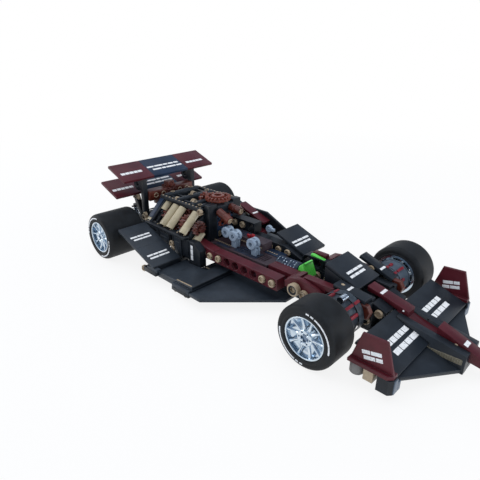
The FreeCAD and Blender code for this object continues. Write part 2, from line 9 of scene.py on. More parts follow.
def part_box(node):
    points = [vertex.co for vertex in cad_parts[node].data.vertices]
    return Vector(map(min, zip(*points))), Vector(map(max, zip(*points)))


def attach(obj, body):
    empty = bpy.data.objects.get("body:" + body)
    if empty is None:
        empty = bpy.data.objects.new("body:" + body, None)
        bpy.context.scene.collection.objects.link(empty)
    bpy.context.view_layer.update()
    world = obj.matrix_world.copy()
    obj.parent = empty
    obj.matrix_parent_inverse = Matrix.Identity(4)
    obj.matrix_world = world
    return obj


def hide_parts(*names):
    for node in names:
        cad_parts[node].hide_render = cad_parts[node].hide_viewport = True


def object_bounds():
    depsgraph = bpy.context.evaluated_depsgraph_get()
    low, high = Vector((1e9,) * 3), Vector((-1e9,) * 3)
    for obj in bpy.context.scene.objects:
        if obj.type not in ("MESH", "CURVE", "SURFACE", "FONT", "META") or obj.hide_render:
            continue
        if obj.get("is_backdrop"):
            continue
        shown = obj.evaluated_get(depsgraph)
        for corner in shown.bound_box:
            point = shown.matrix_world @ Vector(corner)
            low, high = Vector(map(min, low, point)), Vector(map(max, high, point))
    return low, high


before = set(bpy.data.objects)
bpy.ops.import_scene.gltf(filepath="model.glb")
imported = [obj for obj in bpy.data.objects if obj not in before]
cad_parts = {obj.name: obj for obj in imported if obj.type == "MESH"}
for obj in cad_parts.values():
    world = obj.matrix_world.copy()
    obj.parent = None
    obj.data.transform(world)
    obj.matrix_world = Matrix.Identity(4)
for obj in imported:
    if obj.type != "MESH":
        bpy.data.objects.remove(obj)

scene = bpy.context.scene
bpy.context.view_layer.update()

mm = 0.001  # everything below is written in millimetres and goes into the scene in metres
stud = 8.0  # spacing of the pin holes
beamSide = 7.8
sheet = 2.0  # thickness of the flat panels
toNose, toTail = Vector((1, 0, 0)), Vector((-1, 0, 0))
toLeft, toRight = Vector((0, 1, 0)), Vector((0, -1, 0))
toTop = Vector((0, 0, 1))


def middle(node):
    low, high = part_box(node)
    return (low + high) / 2 / mm


rearAxle = middle("wheel_rear_left_tyre")
frontAxle = middle("wheel_front_left_tyre")


def rear(x):
    return rearAxle.x + x


def front(x):
    return frontAxle.x + x


def fromRear(spots):
    # points of an outline whose x counts from the rear axle
    return [(rear(x), other) for x, other in spots]


def fromFront(spots):
    return [(front(x), other) for x, other in spots]


def toLinear(colour):
    values = [int(colour[i:i + 2], 16) / 255 for i in (1, 3, 5)]
    return tuple(v / 12.92 if v <= 0.04045 else ((v + 0.055) / 1.055) ** 2.4 for v in values) + (1.0,)


def setNode(tree, node, settings=None, links=None):
    for key, value in (settings or {}).items():
        if key == "stops":  # positions and colours along a ramp
            for stop, (position, colour) in zip(node.color_ramp.elements, value):
                stop.position, stop.color = position, toLinear(colour)
        elif isinstance(key, int) or key in node.inputs:
            node.inputs[key].default_value = value
        else:
            setattr(node, key, value)
    for key, source in (links or {}).items():
        tree.links.new(source, node.inputs[key])
    return node


def addNode(tree, kind, settings=None, links=None):
    return setNode(tree, tree.nodes.new("ShaderNode" + kind), settings, links)


def newMaterial(name):
    material = bpy.data.materials.new(name)
    material.use_nodes = True
    tree = material.node_tree
    return material, tree, tree.nodes["Principled BSDF"], addNode(tree, "TexCoord").outputs["Object"]


plastic = {
    "flowMarks": 14.0,  # mm across, the slow tone drift that cooling leaves
    "grain": 0.45,  # mm, the spark-eroded texture of the mould
    "grainDepth": 0.012,  # mm
    "edgeRound": 0.28,  # mm, how far the mould's edges are rounded
    "edgeWearAndHighlight": 0.3,  # how much paler an edge is, partly wear from handling and partly painted highlight
    "scuffLength": 9.0,  # mm, hairlines from handling
    "scuffWidth": 0.35,
    "scuffRoughness": 0.16,
}


def mouldedPlastic(name, dark, light, roughness, shine=0.25, clear=0.0, flow=plastic["flowMarks"]):
    # dark and light are the tones in and between the flow marks
    material, tree, shader, place = newMaterial(name)
    marks = addNode(tree, "TexNoise", {"Scale": 1 / (flow * mm), "Detail": 4.0, "Roughness": 0.62}, {"Vector": place})
    tone = addNode(tree, "ValToRGB", {"stops": ((0.32, dark), (0.7, light))}, {"Fac": marks.outputs["Fac"]})
    # long thin scuffs, drawn by noise that is stretched along the car
    along, across = (1 / (plastic[key] * mm) for key in ("scuffLength", "scuffWidth"))
    stretch = addNode(tree, "Mapping", {"Rotation": (0.3, 0.2, 0.7), "Scale": (along, across, across)},
                      {"Vector": place})
    scuff = addNode(tree, "TexNoise", {"Scale": 1.0, "Detail": 2.0}, {"Vector": stretch.outputs["Vector"]})
    hairline = addNode(tree, "MapRange", {"From Min": 0.6, "From Max": 0.72, "To Min": 0.0, "To Max": 1.0},
                       {"Value": scuff.outputs["Fac"]})
    # a moulded edge is rounded, and handling polishes and pales it; the paleness is also a painted highlight along
    # every edge
    rounded = addNode(tree, "Bevel", {"samples": 4, "Radius": plastic["edgeRound"] * mm})
    bend = addNode(tree, "VectorMath", {"operation": "DOT_PRODUCT"},
                   {0: rounded.outputs["Normal"], 1: addNode(tree, "NewGeometry").outputs["Normal"]})
    wornAndLitEdge = addNode(tree, "MapRange", {"From Min": 0.995, "From Max": 0.86, "To Min": 0.0,
                                      "To Max": plastic["edgeWearAndHighlight"]}, {"Value": bend.outputs["Value"]})
    pale = addNode(tree, "Mix", {"data_type": "RGBA", "blend_type": "SCREEN", 7: toLinear("#6d7074")},
                   {0: wornAndLitEdge.outputs["Result"], 6: tone.outputs["Color"]})
    gloss = addNode(tree, "MapRange", {"From Min": 0.3, "From Max": 0.7, "To Min": roughness - 0.06,
                                       "To Max": roughness + 0.07}, {"Value": marks.outputs["Fac"]})
    scratched = addNode(tree, "Math", {"operation": "MULTIPLY_ADD", 1: plastic["scuffRoughness"]},
                        {0: hairline.outputs["Result"], 2: gloss.outputs["Result"]})
    pebble = addNode(tree, "TexNoise", {"Scale": 1 / (plastic["grain"] * mm), "Detail": 2.0}, {"Vector": place})
    bump = addNode(tree, "Bump", {"Strength": 0.5, "Distance": plastic["grainDepth"] * mm},
                   {"Height": pebble.outputs["Fac"], "Normal": rounded.outputs["Normal"]})
    setNode(tree, shader, {"IOR": 1.54, "Specular IOR Level": shine, "Coat Weight": clear, "Coat Roughness": 0.12},
            {"Base Color": pale.outputs[2], "Roughness": scratched.outputs["Value"], "Normal": bump.outputs["Normal"]})
    return material


def tyreRubber(name):
    # soft moulded rubber: matt, faintly dusty, with a fine open grain
    material, tree, shader, place = newMaterial(name)
    dust = addNode(tree, "TexNoise", {"Scale": 1 / (6 * mm), "Detail": 6.0, "Roughness": 0.7}, {"Vector": place})
    tone = addNode(tree, "ValToRGB", {"stops": ((0.38, "#101214"), (0.75, "#202428"))}, {"Fac": dust.outputs["Fac"]})
    gloss = addNode(tree, "MapRange", {"From Min": 0.3, "From Max": 0.7, "To Min": 0.5, "To Max": 0.68},
                    {"Value": dust.outputs["Fac"]})
    pore = addNode(tree, "TexNoise", {"Scale": 1 / (0.35 * mm), "Detail": 3.0}, {"Vector": place})
    bump = addNode(tree, "Bump", {"Strength": 0.55, "Distance": 0.02 * mm}, {"Height": pore.outputs["Fac"]})
    setNode(tree, shader, {"IOR": 1.52, "Specular IOR Level": 0.25},
            {"Base Color": tone.outputs["Color"], "Roughness": gloss.outputs["Result"],
             "Normal": bump.outputs["Normal"]})
    return material


def platedPlastic(name, colour, roughness):
    # vacuum-plated ABS: a mirror over moulding ripples, a little hazy where it was handled
    material, tree, shader, place = newMaterial(name)
    haze = addNode(tree, "TexNoise", {"Scale": 1 / (4 * mm), "Detail": 4.0}, {"Vector": place})
    tone = addNode(tree, "ValToRGB", {"stops": ((0.3, colour), (0.75, "#dfe8f0"))}, {"Fac": haze.outputs["Fac"]})
    gloss = addNode(tree, "MapRange", {"From Min": 0.35, "From Max": 0.7, "To Min": roughness - 0.05,
                                       "To Max": roughness + 0.1}, {"Value": haze.outputs["Fac"]})
    ripple = addNode(tree, "TexNoise", {"Scale": 1 / (2.5 * mm), "Detail": 1.0}, {"Vector": place})
    rounded = addNode(tree, "Bevel", {"samples": 4, "Radius": 0.2 * mm})
    bump = addNode(tree, "Bump", {"Strength": 0.4, "Distance": 0.03 * mm},
                   {"Height": ripple.outputs["Fac"], "Normal": rounded.outputs["Normal"]})
    setNode(tree, shader, {"Metallic": 1.0},
            {"Base Color": tone.outputs["Color"], "Roughness": gloss.outputs["Result"],
             "Normal": bump.outputs["Normal"]})
    return material


def padPrint(name, colour):
    # thin white ink pressed on from a pad: matt and not quite even
    material, tree, shader, place = newMaterial(name)
    blot = addNode(tree, "TexNoise", {"Scale": 1 / (0.8 * mm), "Detail": 5.0}, {"Vector": place})
    tone = addNode(tree, "ValToRGB", {"stops": ((0.25, "#b9bcbe"), (0.5, colour))}, {"Fac": blot.outputs["Fac"]})
    bump = addNode(tree, "Bump", {"Strength": 0.3, "Distance": 0.02 * mm}, {"Height": blot.outputs["Fac"]})
    setNode(tree, shader, {"Roughness": 0.55}, {"Base Color": tone.outputs["Color"], "Normal": bump.outputs["Normal"]})
    return material


# ABS takes a satin gloss from a polished mould; the dark pieces read by their reflections
finishes = {
    # slot, tone in the flow marks and between them, roughness, shine, clear gloss, mm across the flow marks
    "darkGreyAbs": ("dark_grey_plastic", "#1c2127", "#272e36", 0.42),
    # a lighter copy of the dark grey plastic for the floor plates and side panels: painted light that makes up for the
    # shade they fall in
    "paintedLitFloorGreyAbs": ("dark_grey_plastic", "#242a31", "#323a43", 0.42),
    "blackAbs": ("black_plastic", "#12161b", "#1c2229", 0.38),
    "darkRedAbs": ("dark_red_plastic", "#47151c", "#5a1d27", 0.38),
    "wineRedAbs": ("dark_red_plastic", "#6b1a25", "#8c2632", 0.36),
    "signalRedAbs": ("dark_red_plastic", "#8c121b", "#b01c27", 0.3, 0.4),
    "navyAbs": ("navy_plastic", "#142338", "#1c314b", 0.38),
    "brownAbs": ("brown_plastic", "#5e2518", "#843a26", 0.32, 0.4),
    # a darker copy of the brown plastic: on the gears and cranks behind the bank bars its darkness is painted shade,
    # elsewhere a deeper brown
    "darkBrownAndPaintedShadeAbs": ("brown_plastic", "#431a12", "#6a2e20", 0.34, 0.4),
    "tanAbs": ("tan_plastic", "#a08d74", "#c0ad90", 0.34, 0.4),
    "goldAbs": ("gold_plastic", "#a3977b", "#c2b596", 0.3, 0.4, 0.15),
    "taupeAbs": ("taupe_plastic", "#35292f", "#483b41", 0.42),
    "rollerGreyAbs": ("taupe_plastic", "#6d6a68", "#8b8885", 0.36),
    "grooveAbs": ("taupe_plastic", "#6a6455", "#8a8370", 0.42),
    "drumAbs": ("drum_plastic", "#3c4652", "#56636f", 0.34),
    "pearlAbs": ("drum_plastic", "#272e35", "#49535d", 0.34, 0.25, 0.0, 3.2),
    # a paler copy for the caps on the nose-facing ends of the channels and end weights: painted light
    "paintedLightCapGreyAbs": ("drum_plastic", "#4e5a67", "#687482", 0.36),
    "paleBlueAbs": ("light_grey_plastic", "#7c8da2", "#a3b4c4", 0.3, 0.4),
    "greenAbs": ("green_plastic", "#52c94c", "#74ea5e", 0.3, 0.4, 0.2),
}
materials = {name: mouldedPlastic(name, *values[1:]) for name, values in finishes.items()}
slots = {name: values[0] for name, values in finishes.items()}
materials["tyreRubber"] = tyreRubber("tyreRubber")
materials["platedRim"] = platedPlastic("platedRim", "#bccddb", 0.16)
materials["springSteel"] = platedPlastic("springSteel", "#8c9aa8", 0.2)
materials["whiteInk"] = padPrint("whiteInk", "#f4f5f5")
slots.update(tyreRubber="tyre_rubber", platedRim="bright_rim")
print("materials ready")


# a shape is a list of points in millimetres and a list of faces


def placed(shape, matrix):
    points, faces = shape
    return [matrix @ Vector(p) for p in points], faces


def at(x, y, z):
    return Matrix.Translation((x, y, z))


def turned(degrees, axis):
    return Matrix.Rotation(math.radians(degrees), 4, axis)


def facing(direction, x, y, z):
    # carries a shape built along +Z so that it points along the direction
    turn = Vector(direction).to_track_quat("Z", "Y").to_matrix().to_4x4()
    return at(x, y, z) @ turn


def moved(shapes, matrix):
    return [placed(shape, matrix) for shape in shapes]


def aimed(shapes, direction, x, y, z):
    return moved(shapes, facing(direction, x, y, z))


def spread(shapes, direction, spots):
    # the same shapes at each (x, y, z), where x counts from the rear axle
    return [shape for x, y, z in spots for shape in aimed(shapes, direction, rear(x), y, z)]


def mirrored(shapes):
    return [([Vector((p[0], -p[1], p[2])) for p in points], [face[::-1] for face in faces]) for points, faces in shapes]


def bothSides(shapes):
    return shapes + mirrored(shapes)


def lathe(profile, steps=32, closed=True, start=0.0, sweep=360.0):
    # turns (radius, height) points about Z
    points, faces, rows = [], [], []
    whole = sweep >= 360
    count = steps if whole else steps + 1
    for radius, height in profile:
        if radius < 1e-6:
            points.append(Vector((0, 0, height)))
            rows.append([len(points) - 1] * count)
            continue
        row = []
        for i in range(count):
            angle = math.radians(start + sweep * i / steps)
            points.append(Vector((radius * math.cos(angle), radius * math.sin(angle), height)))
            row.append(len(points) - 1)
        rows.append(row)
    pairs = list(zip(rows, rows[1:]))
    if closed:
        pairs.append((rows[-1], rows[0]))
    for low, high in pairs:
        for i in range(steps):
            j = (i + 1) % count
            face = list(dict.fromkeys((low[i], low[j], high[j], high[i])))
            if len(face) > 2:
                faces.append(face)
    if closed and not whole:
        faces.append([row[0] for row in rows])
        faces.append([row[-1] for row in rows][::-1])
    return points, faces


def band(inner, outer, low, high):
    # the profile of a plain ring, or of a disc where inner is 0
    return [(inner, low), (outer, low), (outer, high), (inner, high)]


def circle(radius, steps=24, x=0.0, y=0.0):
    turn = 2 * math.pi / steps
    return [(x + radius * math.cos(i * turn), y + radius * math.sin(i * turn)) for i in range(steps)]


def ringOf(count, reach, radius, steps, lead=0.0):
    # round holes spaced evenly on a circle
    angles = [2 * math.pi * (i + lead) / count for i in range(count)]
    return [circle(radius, steps, reach * math.cos(a), reach * math.sin(a)) for a in angles]


def punched(outline, holes, low, high, chamfer=0.25):
    # a flat outline with holes, given thickness along Z, its rims chamfered
    curve = bpy.data.curves.new("outline", "CURVE")
    curve.dimensions = "2D"
    curve.fill_mode = "BOTH"
    for loop in [outline] + list(holes):
        spline = curve.splines.new("POLY")
        spline.points.add(len(loop) - 1)
        for point, (x, y) in zip(spline.points, loop):
            point.co = (x, y, 0, 1)
        spline.use_cyclic_u = True
    curve.extrude = (high - low) / 2 - chamfer
    curve.bevel_depth = chamfer
    curve.bevel_resolution = 0
    curve.offset = -chamfer
    holder = bpy.data.objects.new("outline", curve)
    scene.collection.objects.link(holder)
    depsgraph = bpy.context.evaluated_depsgraph_get()
    mesh = bpy.data.meshes.new_from_object(holder.evaluated_get(depsgraph))
    work = bmesh.new()
    work.from_mesh(mesh)
    bmesh.ops.remove_doubles(work, verts=work.verts, dist=0.001)
    points = [v.co + Vector((0, 0, (low + high) / 2)) for v in work.verts]
    faces = [[v.index for v in face.verts] for face in work.faces]
    work.free()
    bpy.data.objects.remove(holder)
    bpy.data.meshes.remove(mesh)
    bpy.data.curves.remove(curve)
    return points, faces


def brick(x, y, z, chamfer=0.25):
    # a block between two limits each way, with rounded edges
    work = bmesh.new()
    bmesh.ops.create_cube(work, size=1)
    size = Vector((x[1] - x[0], y[1] - y[0], z[1] - z[0]))
    centre = Vector((x[0] + x[1], y[0] + y[1], z[0] + z[1])) / 2
    for v in work.verts:
        v.co = Vector(a * b for a, b in zip(v.co, size)) + centre
    bmesh.ops.bevel(work, geom=work.edges[:], offset=min(chamfer, min(size) * 0.45), segments=2, profile=0.6,
                    affect="EDGES")
    work.verts.index_update()
    points = [v.co.copy() for v in work.verts]
    faces = [[v.index for v in face.verts] for face in work.faces]
    work.free()
    return points, faces


def alongCar(blocks, chamfer, place=rear):
    # one block for each set of limits along, across and up, where along counts from an axle
    return [brick((place(x[0]), place(x[1])), y, z, chamfer) for x, y, z in blocks]


def sideShape(points, y, holes=(), chamfer=0.25):
    # an outline of (x, z) points in the side view, between two y limits
    turn = Matrix(((1, 0, 0, 0), (0, 0, -1, 0), (0, 1, 0, 0), (0, 0, 0, 1)))
    return placed(punched(points, holes, -y[1], -y[0], chamfer), turn)


def gearOutline(teeth, radius, depth=1.6):
    points = []
    for tooth in range(teeth):
        for share, r in ((0.0, radius - depth), (0.16, radius - 0.25), (0.22, radius), (0.38, radius),
                         (0.44, radius - 0.25), (0.6, radius - depth)):
            angle = 2 * math.pi * (tooth + share) / teeth
            points.append((r * math.cos(angle), r * math.sin(angle)))
    return points


def crossOutline(arm=0.92, reach=2.3):
    quarter = [(reach, -arm), (reach, arm), (arm, arm)]
    points = []
    for turn in range(4):
        angle = turn * math.pi / 2
        c, s = math.cos(angle), math.sin(angle)
        points += [(a * c - b * s, a * s + b * c) for a, b in quarter]
    return points


def crossAxle(length):
    return punched(crossOutline(), [], 0, length, 0.2)


crossHole = crossOutline(0.95, 2.35)


def gear(teeth, radius, width):
    # a spur gear along Z: toothed rim, thinner web with round holes, a hub with a cross hole
    root = radius - 2.2
    web = width * 0.3
    ports = ringOf(6, (root + 1.9) / 2, 1.1, 12) if root > 5 else []
    return [punched(gearOutline(teeth, radius), [circle(root - 0.9, 32)], 0, width, 0.2),
            punched(circle(root - 0.8, 32), ports + [crossHole], web, width - web, 0.1),
            punched(circle(3.3, 24), [crossHole], 0, width, 0.2)]


pinLook = {
    "bore": 1.5,
    "sunk": 0.8,  # mm, how deep the end sits in its hole
    "split": 8,  # degrees, half of the gap between its two halves
}


def pinEnd(radius=2.35, height=1.3):
    # the split collar of a connecting pin: two half rings round an open bore
    bore, sunk, split = pinLook["bore"], pinLook["sunk"], pinLook["split"]
    ring = [(bore, -sunk), (radius, -sunk), (radius, height - 0.45), (radius - 0.35, height), (bore + 0.25, height),
            (bore, height - 0.3)]
    halves = [lathe(ring, 12, True, split + turn, 180 - 2 * split) for turn in (0, 180)]
    return halves + [lathe(band(0, bore - 0.01, -sunk, height - 1.0), 16, False)]


def bush(radius=3.6, height=3.8):
    # the round stop that slides on a cross axle: two flanges and a waist
    profile = [(2.4, 0), (radius, 0), (radius, 0.9), (radius - 0.9, 1.3), (radius - 0.9, height - 1.3),
               (radius, height - 0.9), (radius, height), (2.4, height)]
    return [lathe(profile, 24)]


beamHoles = {"bore": 2.45, "counterbore": 3.05, "depth": 0.8, "chamfer": 0.1}


def beamAt(count, x, y, z, roundEnds=True, holes=None, clip=None):
    # a studless beam along X from its first hole, with counterbored pin holes along Y
    half = beamSide / 2
    length = (count - 1) * stud
    outline = [(-half, -half), (length + half, -half), (length + half, half), (-half, half)]
    if roundEnds:
        ends = [(centre, math.radians(first + 15 * i)) for centre, first in ((length, -90), (0, 90)) for i in range(13)]
        outline = [(centre + half * math.cos(angle), half * math.sin(angle)) for centre, angle in ends]
    outline = [(x + a, z + b) for a, b in outline]
    if clip:
        outline = clip(outline)
    spots = [(x + slot * stud, z) for slot in (range(count) if holes is None else holes)]
    step = half - beamHoles["depth"]
    wide, narrow, chamfer = (beamHoles[key] for key in ("counterbore", "bore", "chamfer"))
    return [sideShape(outline, (y + low, y + high), [circle(radius, 24, a, b) for a, b in spots], rim)
            for low, high, radius, rim in ((-half, -step, wide, chamfer), (-step, step, narrow, 0.0),
                                           (step, half, wide, chamfer))]


def coil(radius, wire, turns, length, steps=14):
    # a round wire wound round Z
    points, faces = [], []
    rings = int(turns * steps)
    for i in range(rings + 1):
        angle = 2 * math.pi * i / steps
        centre = Vector((radius * math.cos(angle), radius * math.sin(angle), length * i / rings))
        outward = Vector((math.cos(angle), math.sin(angle), 0))
        for k in range(6):
            a = 2 * math.pi * k / 6
            points.append(centre + outward * wire * math.cos(a) + toTop * wire * math.sin(a))
    for i in range(rings):
        for k in range(6):
            n = (k + 1) % 6
            faces.append([i * 6 + k, i * 6 + n, (i + 1) * 6 + n, (i + 1) * 6 + k])
    faces.append([k for k in range(6)][::-1])
    faces.append([rings * 6 + k for k in range(6)])
    return points, faces


def addPiece(name, shapes, finish, stands=(), body="chassis", slot=None, smooth=32):
    # smooth: degrees, edges sharper than this stay sharp
    points, faces = [], []
    for shape in shapes:
        base = len(points)
        points += [Vector(p) * mm for p in shape[0]]
        faces += [[base + i for i in face] for face in shape[1]]
    mesh = bpy.data.meshes.new(name)
    mesh.from_pydata(points, [], faces)
    work = bmesh.new()
    work.from_mesh(mesh)
    bmesh.ops.recalc_face_normals(work, faces=work.faces)
    work.to_mesh(mesh)
    work.free()
    mesh.polygons.foreach_set("use_smooth", [True] * len(mesh.polygons))
    mesh.set_sharp_from_angle(angle=math.radians(smooth))
    mesh.materials.append(materials[finish])
    piece = bpy.data.objects.new(name, mesh)
    scene.collection.objects.link(piece)
    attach(piece, body)
    slot = slot or slots.get(finish)
    if stands:
        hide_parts(*stands)
    return piece


dress = {
    # finish: (mm that edges are rounded by, the frame's own pieces that show it)
    "blackAbs": (0.3, "rear_gearbox rear_hub_carriers cross_beams floor_tub side_walls bank_rails bank_frames "
                      "engine_block wing_uprights nose_walls wishbones edge_beams"),
    # the floor plates take the lighter grey copy, which is painted light
    "paintedLitFloorGreyAbs": (0.3, "floor_plates"),
    "darkGreyAbs": (0.3, "top_decks front_wing_planes front_wing_channels roof_beams"),
    "darkRedAbs": (0.3, "nose_spine rear_wing_tips"),
    "navyAbs": (0.3, "rear_wing_centers control_block"),
    "darkBrownAndPaintedShadeAbs": (0.25, "wing_cross_beam knuckle_left knuckle_right"),
    "taupeAbs": (0.3, "drive_unit"),
    "pearlAbs": (0.2, "drum_right"),
    "greenAbs": (0.6, "seat_block"),
    "paleBlueAbs": (0.15, "wheel_front_left_axle wheel_front_right_axle wheel_rear_left_axle wheel_rear_right_axle"),
}

for finish, (width, names) in dress.items():
    for name in names.split():
        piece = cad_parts[name]
        piece.data.materials.clear()
        piece.data.materials.append(materials[finish])
        piece.data.polygons.foreach_set("use_smooth", [True] * len(piece.data.polygons))
        weld = piece.modifiers.new("weld", "WELD")
        weld.merge_threshold = 0.002 * mm
        rounding = piece.modifiers.new("rounding", "BEVEL")
        rounding.width = width * mm
        rounding.segments = 2
        rounding.limit_method = "ANGLE"
        rounding.angle_limit = math.radians(32)
        rounding.harden_normals = True
        rounding.use_clamp_overlap = True
print("frame dressed")


tyreLook = {
    "radius": 17.73,
    "bead": 12.15,
    "wallTop": 15.0,  # radius where the side wall starts to roll over
    "shoulder": {"front": 3.2, "rear": 3.6},  # mm, how far the tread rolls over into the side wall
    "trim": {"front": 0.0, "rear": 5.6},  # mm, a tyre ends this much short of its space on the inboard side
    "rimInset": 1.3,  # mm, how far the rim's face lies behind the side wall
    "arcRadius": 15.0,
    "arcWidth": 0.85,
    "arcs": (41, 225),  # degrees, where the two printed arcs are
    "arcLead": {"front": 0, "rear": 94},
}
rimLook = {
    "barrel": 12.08,
    "hub": 4.5,
    "bowlDepth": 5.5,
    "spokes": 10,
    # radius, half width, and how far its front and back lie behind the rim's face, for each slice along a spoke
    "slices": ((3.7, 1.05, 0.55, 2.2), (5.4, 0.8, 1.05, 2.7), (7.6, 0.62, 1.15, 2.6), (9.6, 0.66, 0.85, 2.3),
               (11.2, 0.95, 0.35, 2.1)),
}


def tyreShape(half, shoulder, trim):
    # trim takes width off the inboard side
    top, bead, foot = tyreLook["radius"], tyreLook["bead"], tyreLook["wallTop"]
    side = [(bead, half - 0.9), (bead + 0.15, half - 0.35), (12.8, half - 0.1), (13.4, half), (13.7, half - 0.12),
            (14.0, half - 0.3), (14.3, half - 0.28), (foot, half - 0.2)]
    # a quarter of a squarish round from the side wall to the tread
    for i in range(1, 11):
        angle = math.pi / 2 * i / 10
        roll = 1 - math.cos(angle) ** 0.9
        side.append((foot + (top - foot) * math.sin(angle) ** 0.85, half - 0.2 - shoulder * roll))
    side += [(top + 0.01, (half - shoulder) * k) for k in (0.6, 0.3)]
    return lathe([(r, trim - z) for r, z in side] + side[::-1], 120)


def spokeShape(face):
    points, faces = [], []
    slices = rimLook["slices"]
    for r, w, ahead, behind in slices:
        top, low = face - ahead, face - behind
        points += [Vector(p) for p in ((r, -w, low), (r, w, low), (r, w, top - 0.45), (r, w * 0.45, top),
                                       (r, -w * 0.45, top), (r, -w, top - 0.45))]
    for k in range(len(slices) - 1):
        for i in range(6):
            j = (i + 1) % 6
            faces.append([k * 6 + i, k * 6 + j, (k + 1) * 6 + j, (k + 1) * 6 + i])
    faces.append([5, 4, 3, 2, 1, 0])
    faces.append([(len(slices) - 1) * 6 + i for i in range(6)])
    return points, faces


def rimShapes(half, trim):
    # local +Z is the outer side of the wheel
    inner, lip, face = half - trim, half + 0.75, half + 0.1
    barrel, hub, spokes = rimLook["barrel"], rimLook["hub"], rimLook["spokes"]
    deep = half - rimLook["bowlDepth"]
    wall = [(barrel, -inner), (barrel, lip - 0.5), (barrel - 0.15, lip), (barrel - 0.6, lip + 0.12),
            (barrel - 1.0, lip - 0.1), (barrel - 1.15, lip - 0.7), (barrel - 0.85, lip - 1.6),
            (barrel - 0.75, -inner + 0.6), (barrel - 0.4, -inner)]
    # the inboard flange that holds the bead
    flange = [(11.4, -inner - 1.2), (13.1, -inner - 1.2), (13.3, -inner - 0.9), (13.1, -inner - 0.6),
              (12.0, -inner - 0.1), (11.4, -inner - 0.1)]
    # a bowl behind the spokes, stepped like a turned rim
    bowl = [(barrel - 0.8, half - 2.6), (barrel - 1.6, half - 2.9), (barrel - 2.4, half - 3.4), (8.4, half - 4.2),
            (6.4, deep + 0.4), (hub - 0.2, deep), (hub - 0.2, deep - 0.7), (6.4, deep - 0.4), (8.6, half - 5.0),
            (barrel - 0.8, half - 3.6)]
    shapes = [lathe(wall, 80), lathe(flange, 72), lathe(bowl, 60)]
    for index in range(spokes):
        shapes.append(placed(spokeShape(face), Matrix.Rotation(2 * math.pi * index / spokes, 4, "Z")))
    ports = ringOf(6, 3.3, 0.5, 12)
    shapes.append(punched(circle(hub, 40), ports + [crossHole], face - 1.6, face + 0.15, 0.25))
    shapes.append(lathe([(2.5, deep - 1.0), (hub - 0.5, deep - 1.0), (hub - 0.3, face - 1.5), (2.5, face - 1.5)], 40))
    return shapes


def arcShapes(half, lead):
    # two printed arcs on the outer side wall, each a long stroke with short ones at its end
    r, w, z = tyreLook["arcRadius"], tyreLook["arcWidth"], half - 0.22
    return [lathe(band(r - w / 2, r + w / 2, z, z + 0.08), max(4, int(sweep / 3)), True, centre + start + lead, sweep)
            for centre in tyreLook["arcs"] for start, sweep in ((-47, 74), (30, 7), (40, 7))]


for name, side in (("left", 1), ("right", -1)):
    for end in ("front", "rear"):
        body = f"wheel_{end}_{name}"
        low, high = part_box(body + "_tyre")
        half, trim = (high.y - low.y) / 2 / mm, tyreLook["trim"][end]
        # local X runs forward on the right and backward on the left, local Y up, local Z outward
        turn = at(*middle(body + "_tyre")) @ Matrix(((-side, 0, 0, 0), (0, 0, side, 0), (0, 1, 0, 0), (0, 0, 0, 1)))
        tyre = moved([tyreShape(half, tyreLook["shoulder"][end], trim)], turn)
        rim = moved(rimShapes(half - tyreLook["rimInset"], trim), turn)
        arcs = moved(arcShapes(half, tyreLook["arcLead"][end]), turn)
        addPiece(body + "_tyreRubber", tyre, "tyreRubber", [body + "_tyre"], body, smooth=40)
        addPiece(body + "_spokedRim", rim, "platedRim", [body + "_rim"], body, smooth=38)
        addPiece(body + "_sideStripes", arcs, "whiteInk", body=body)
print("wheels ready")


def panelFrame(x, y, z, tilt):
    # local X runs down the slope from the panel's top rear edge, local Z stands off its face
    return at(x, y, z) @ Matrix.Rotation(math.radians(tilt), 4, "Y")


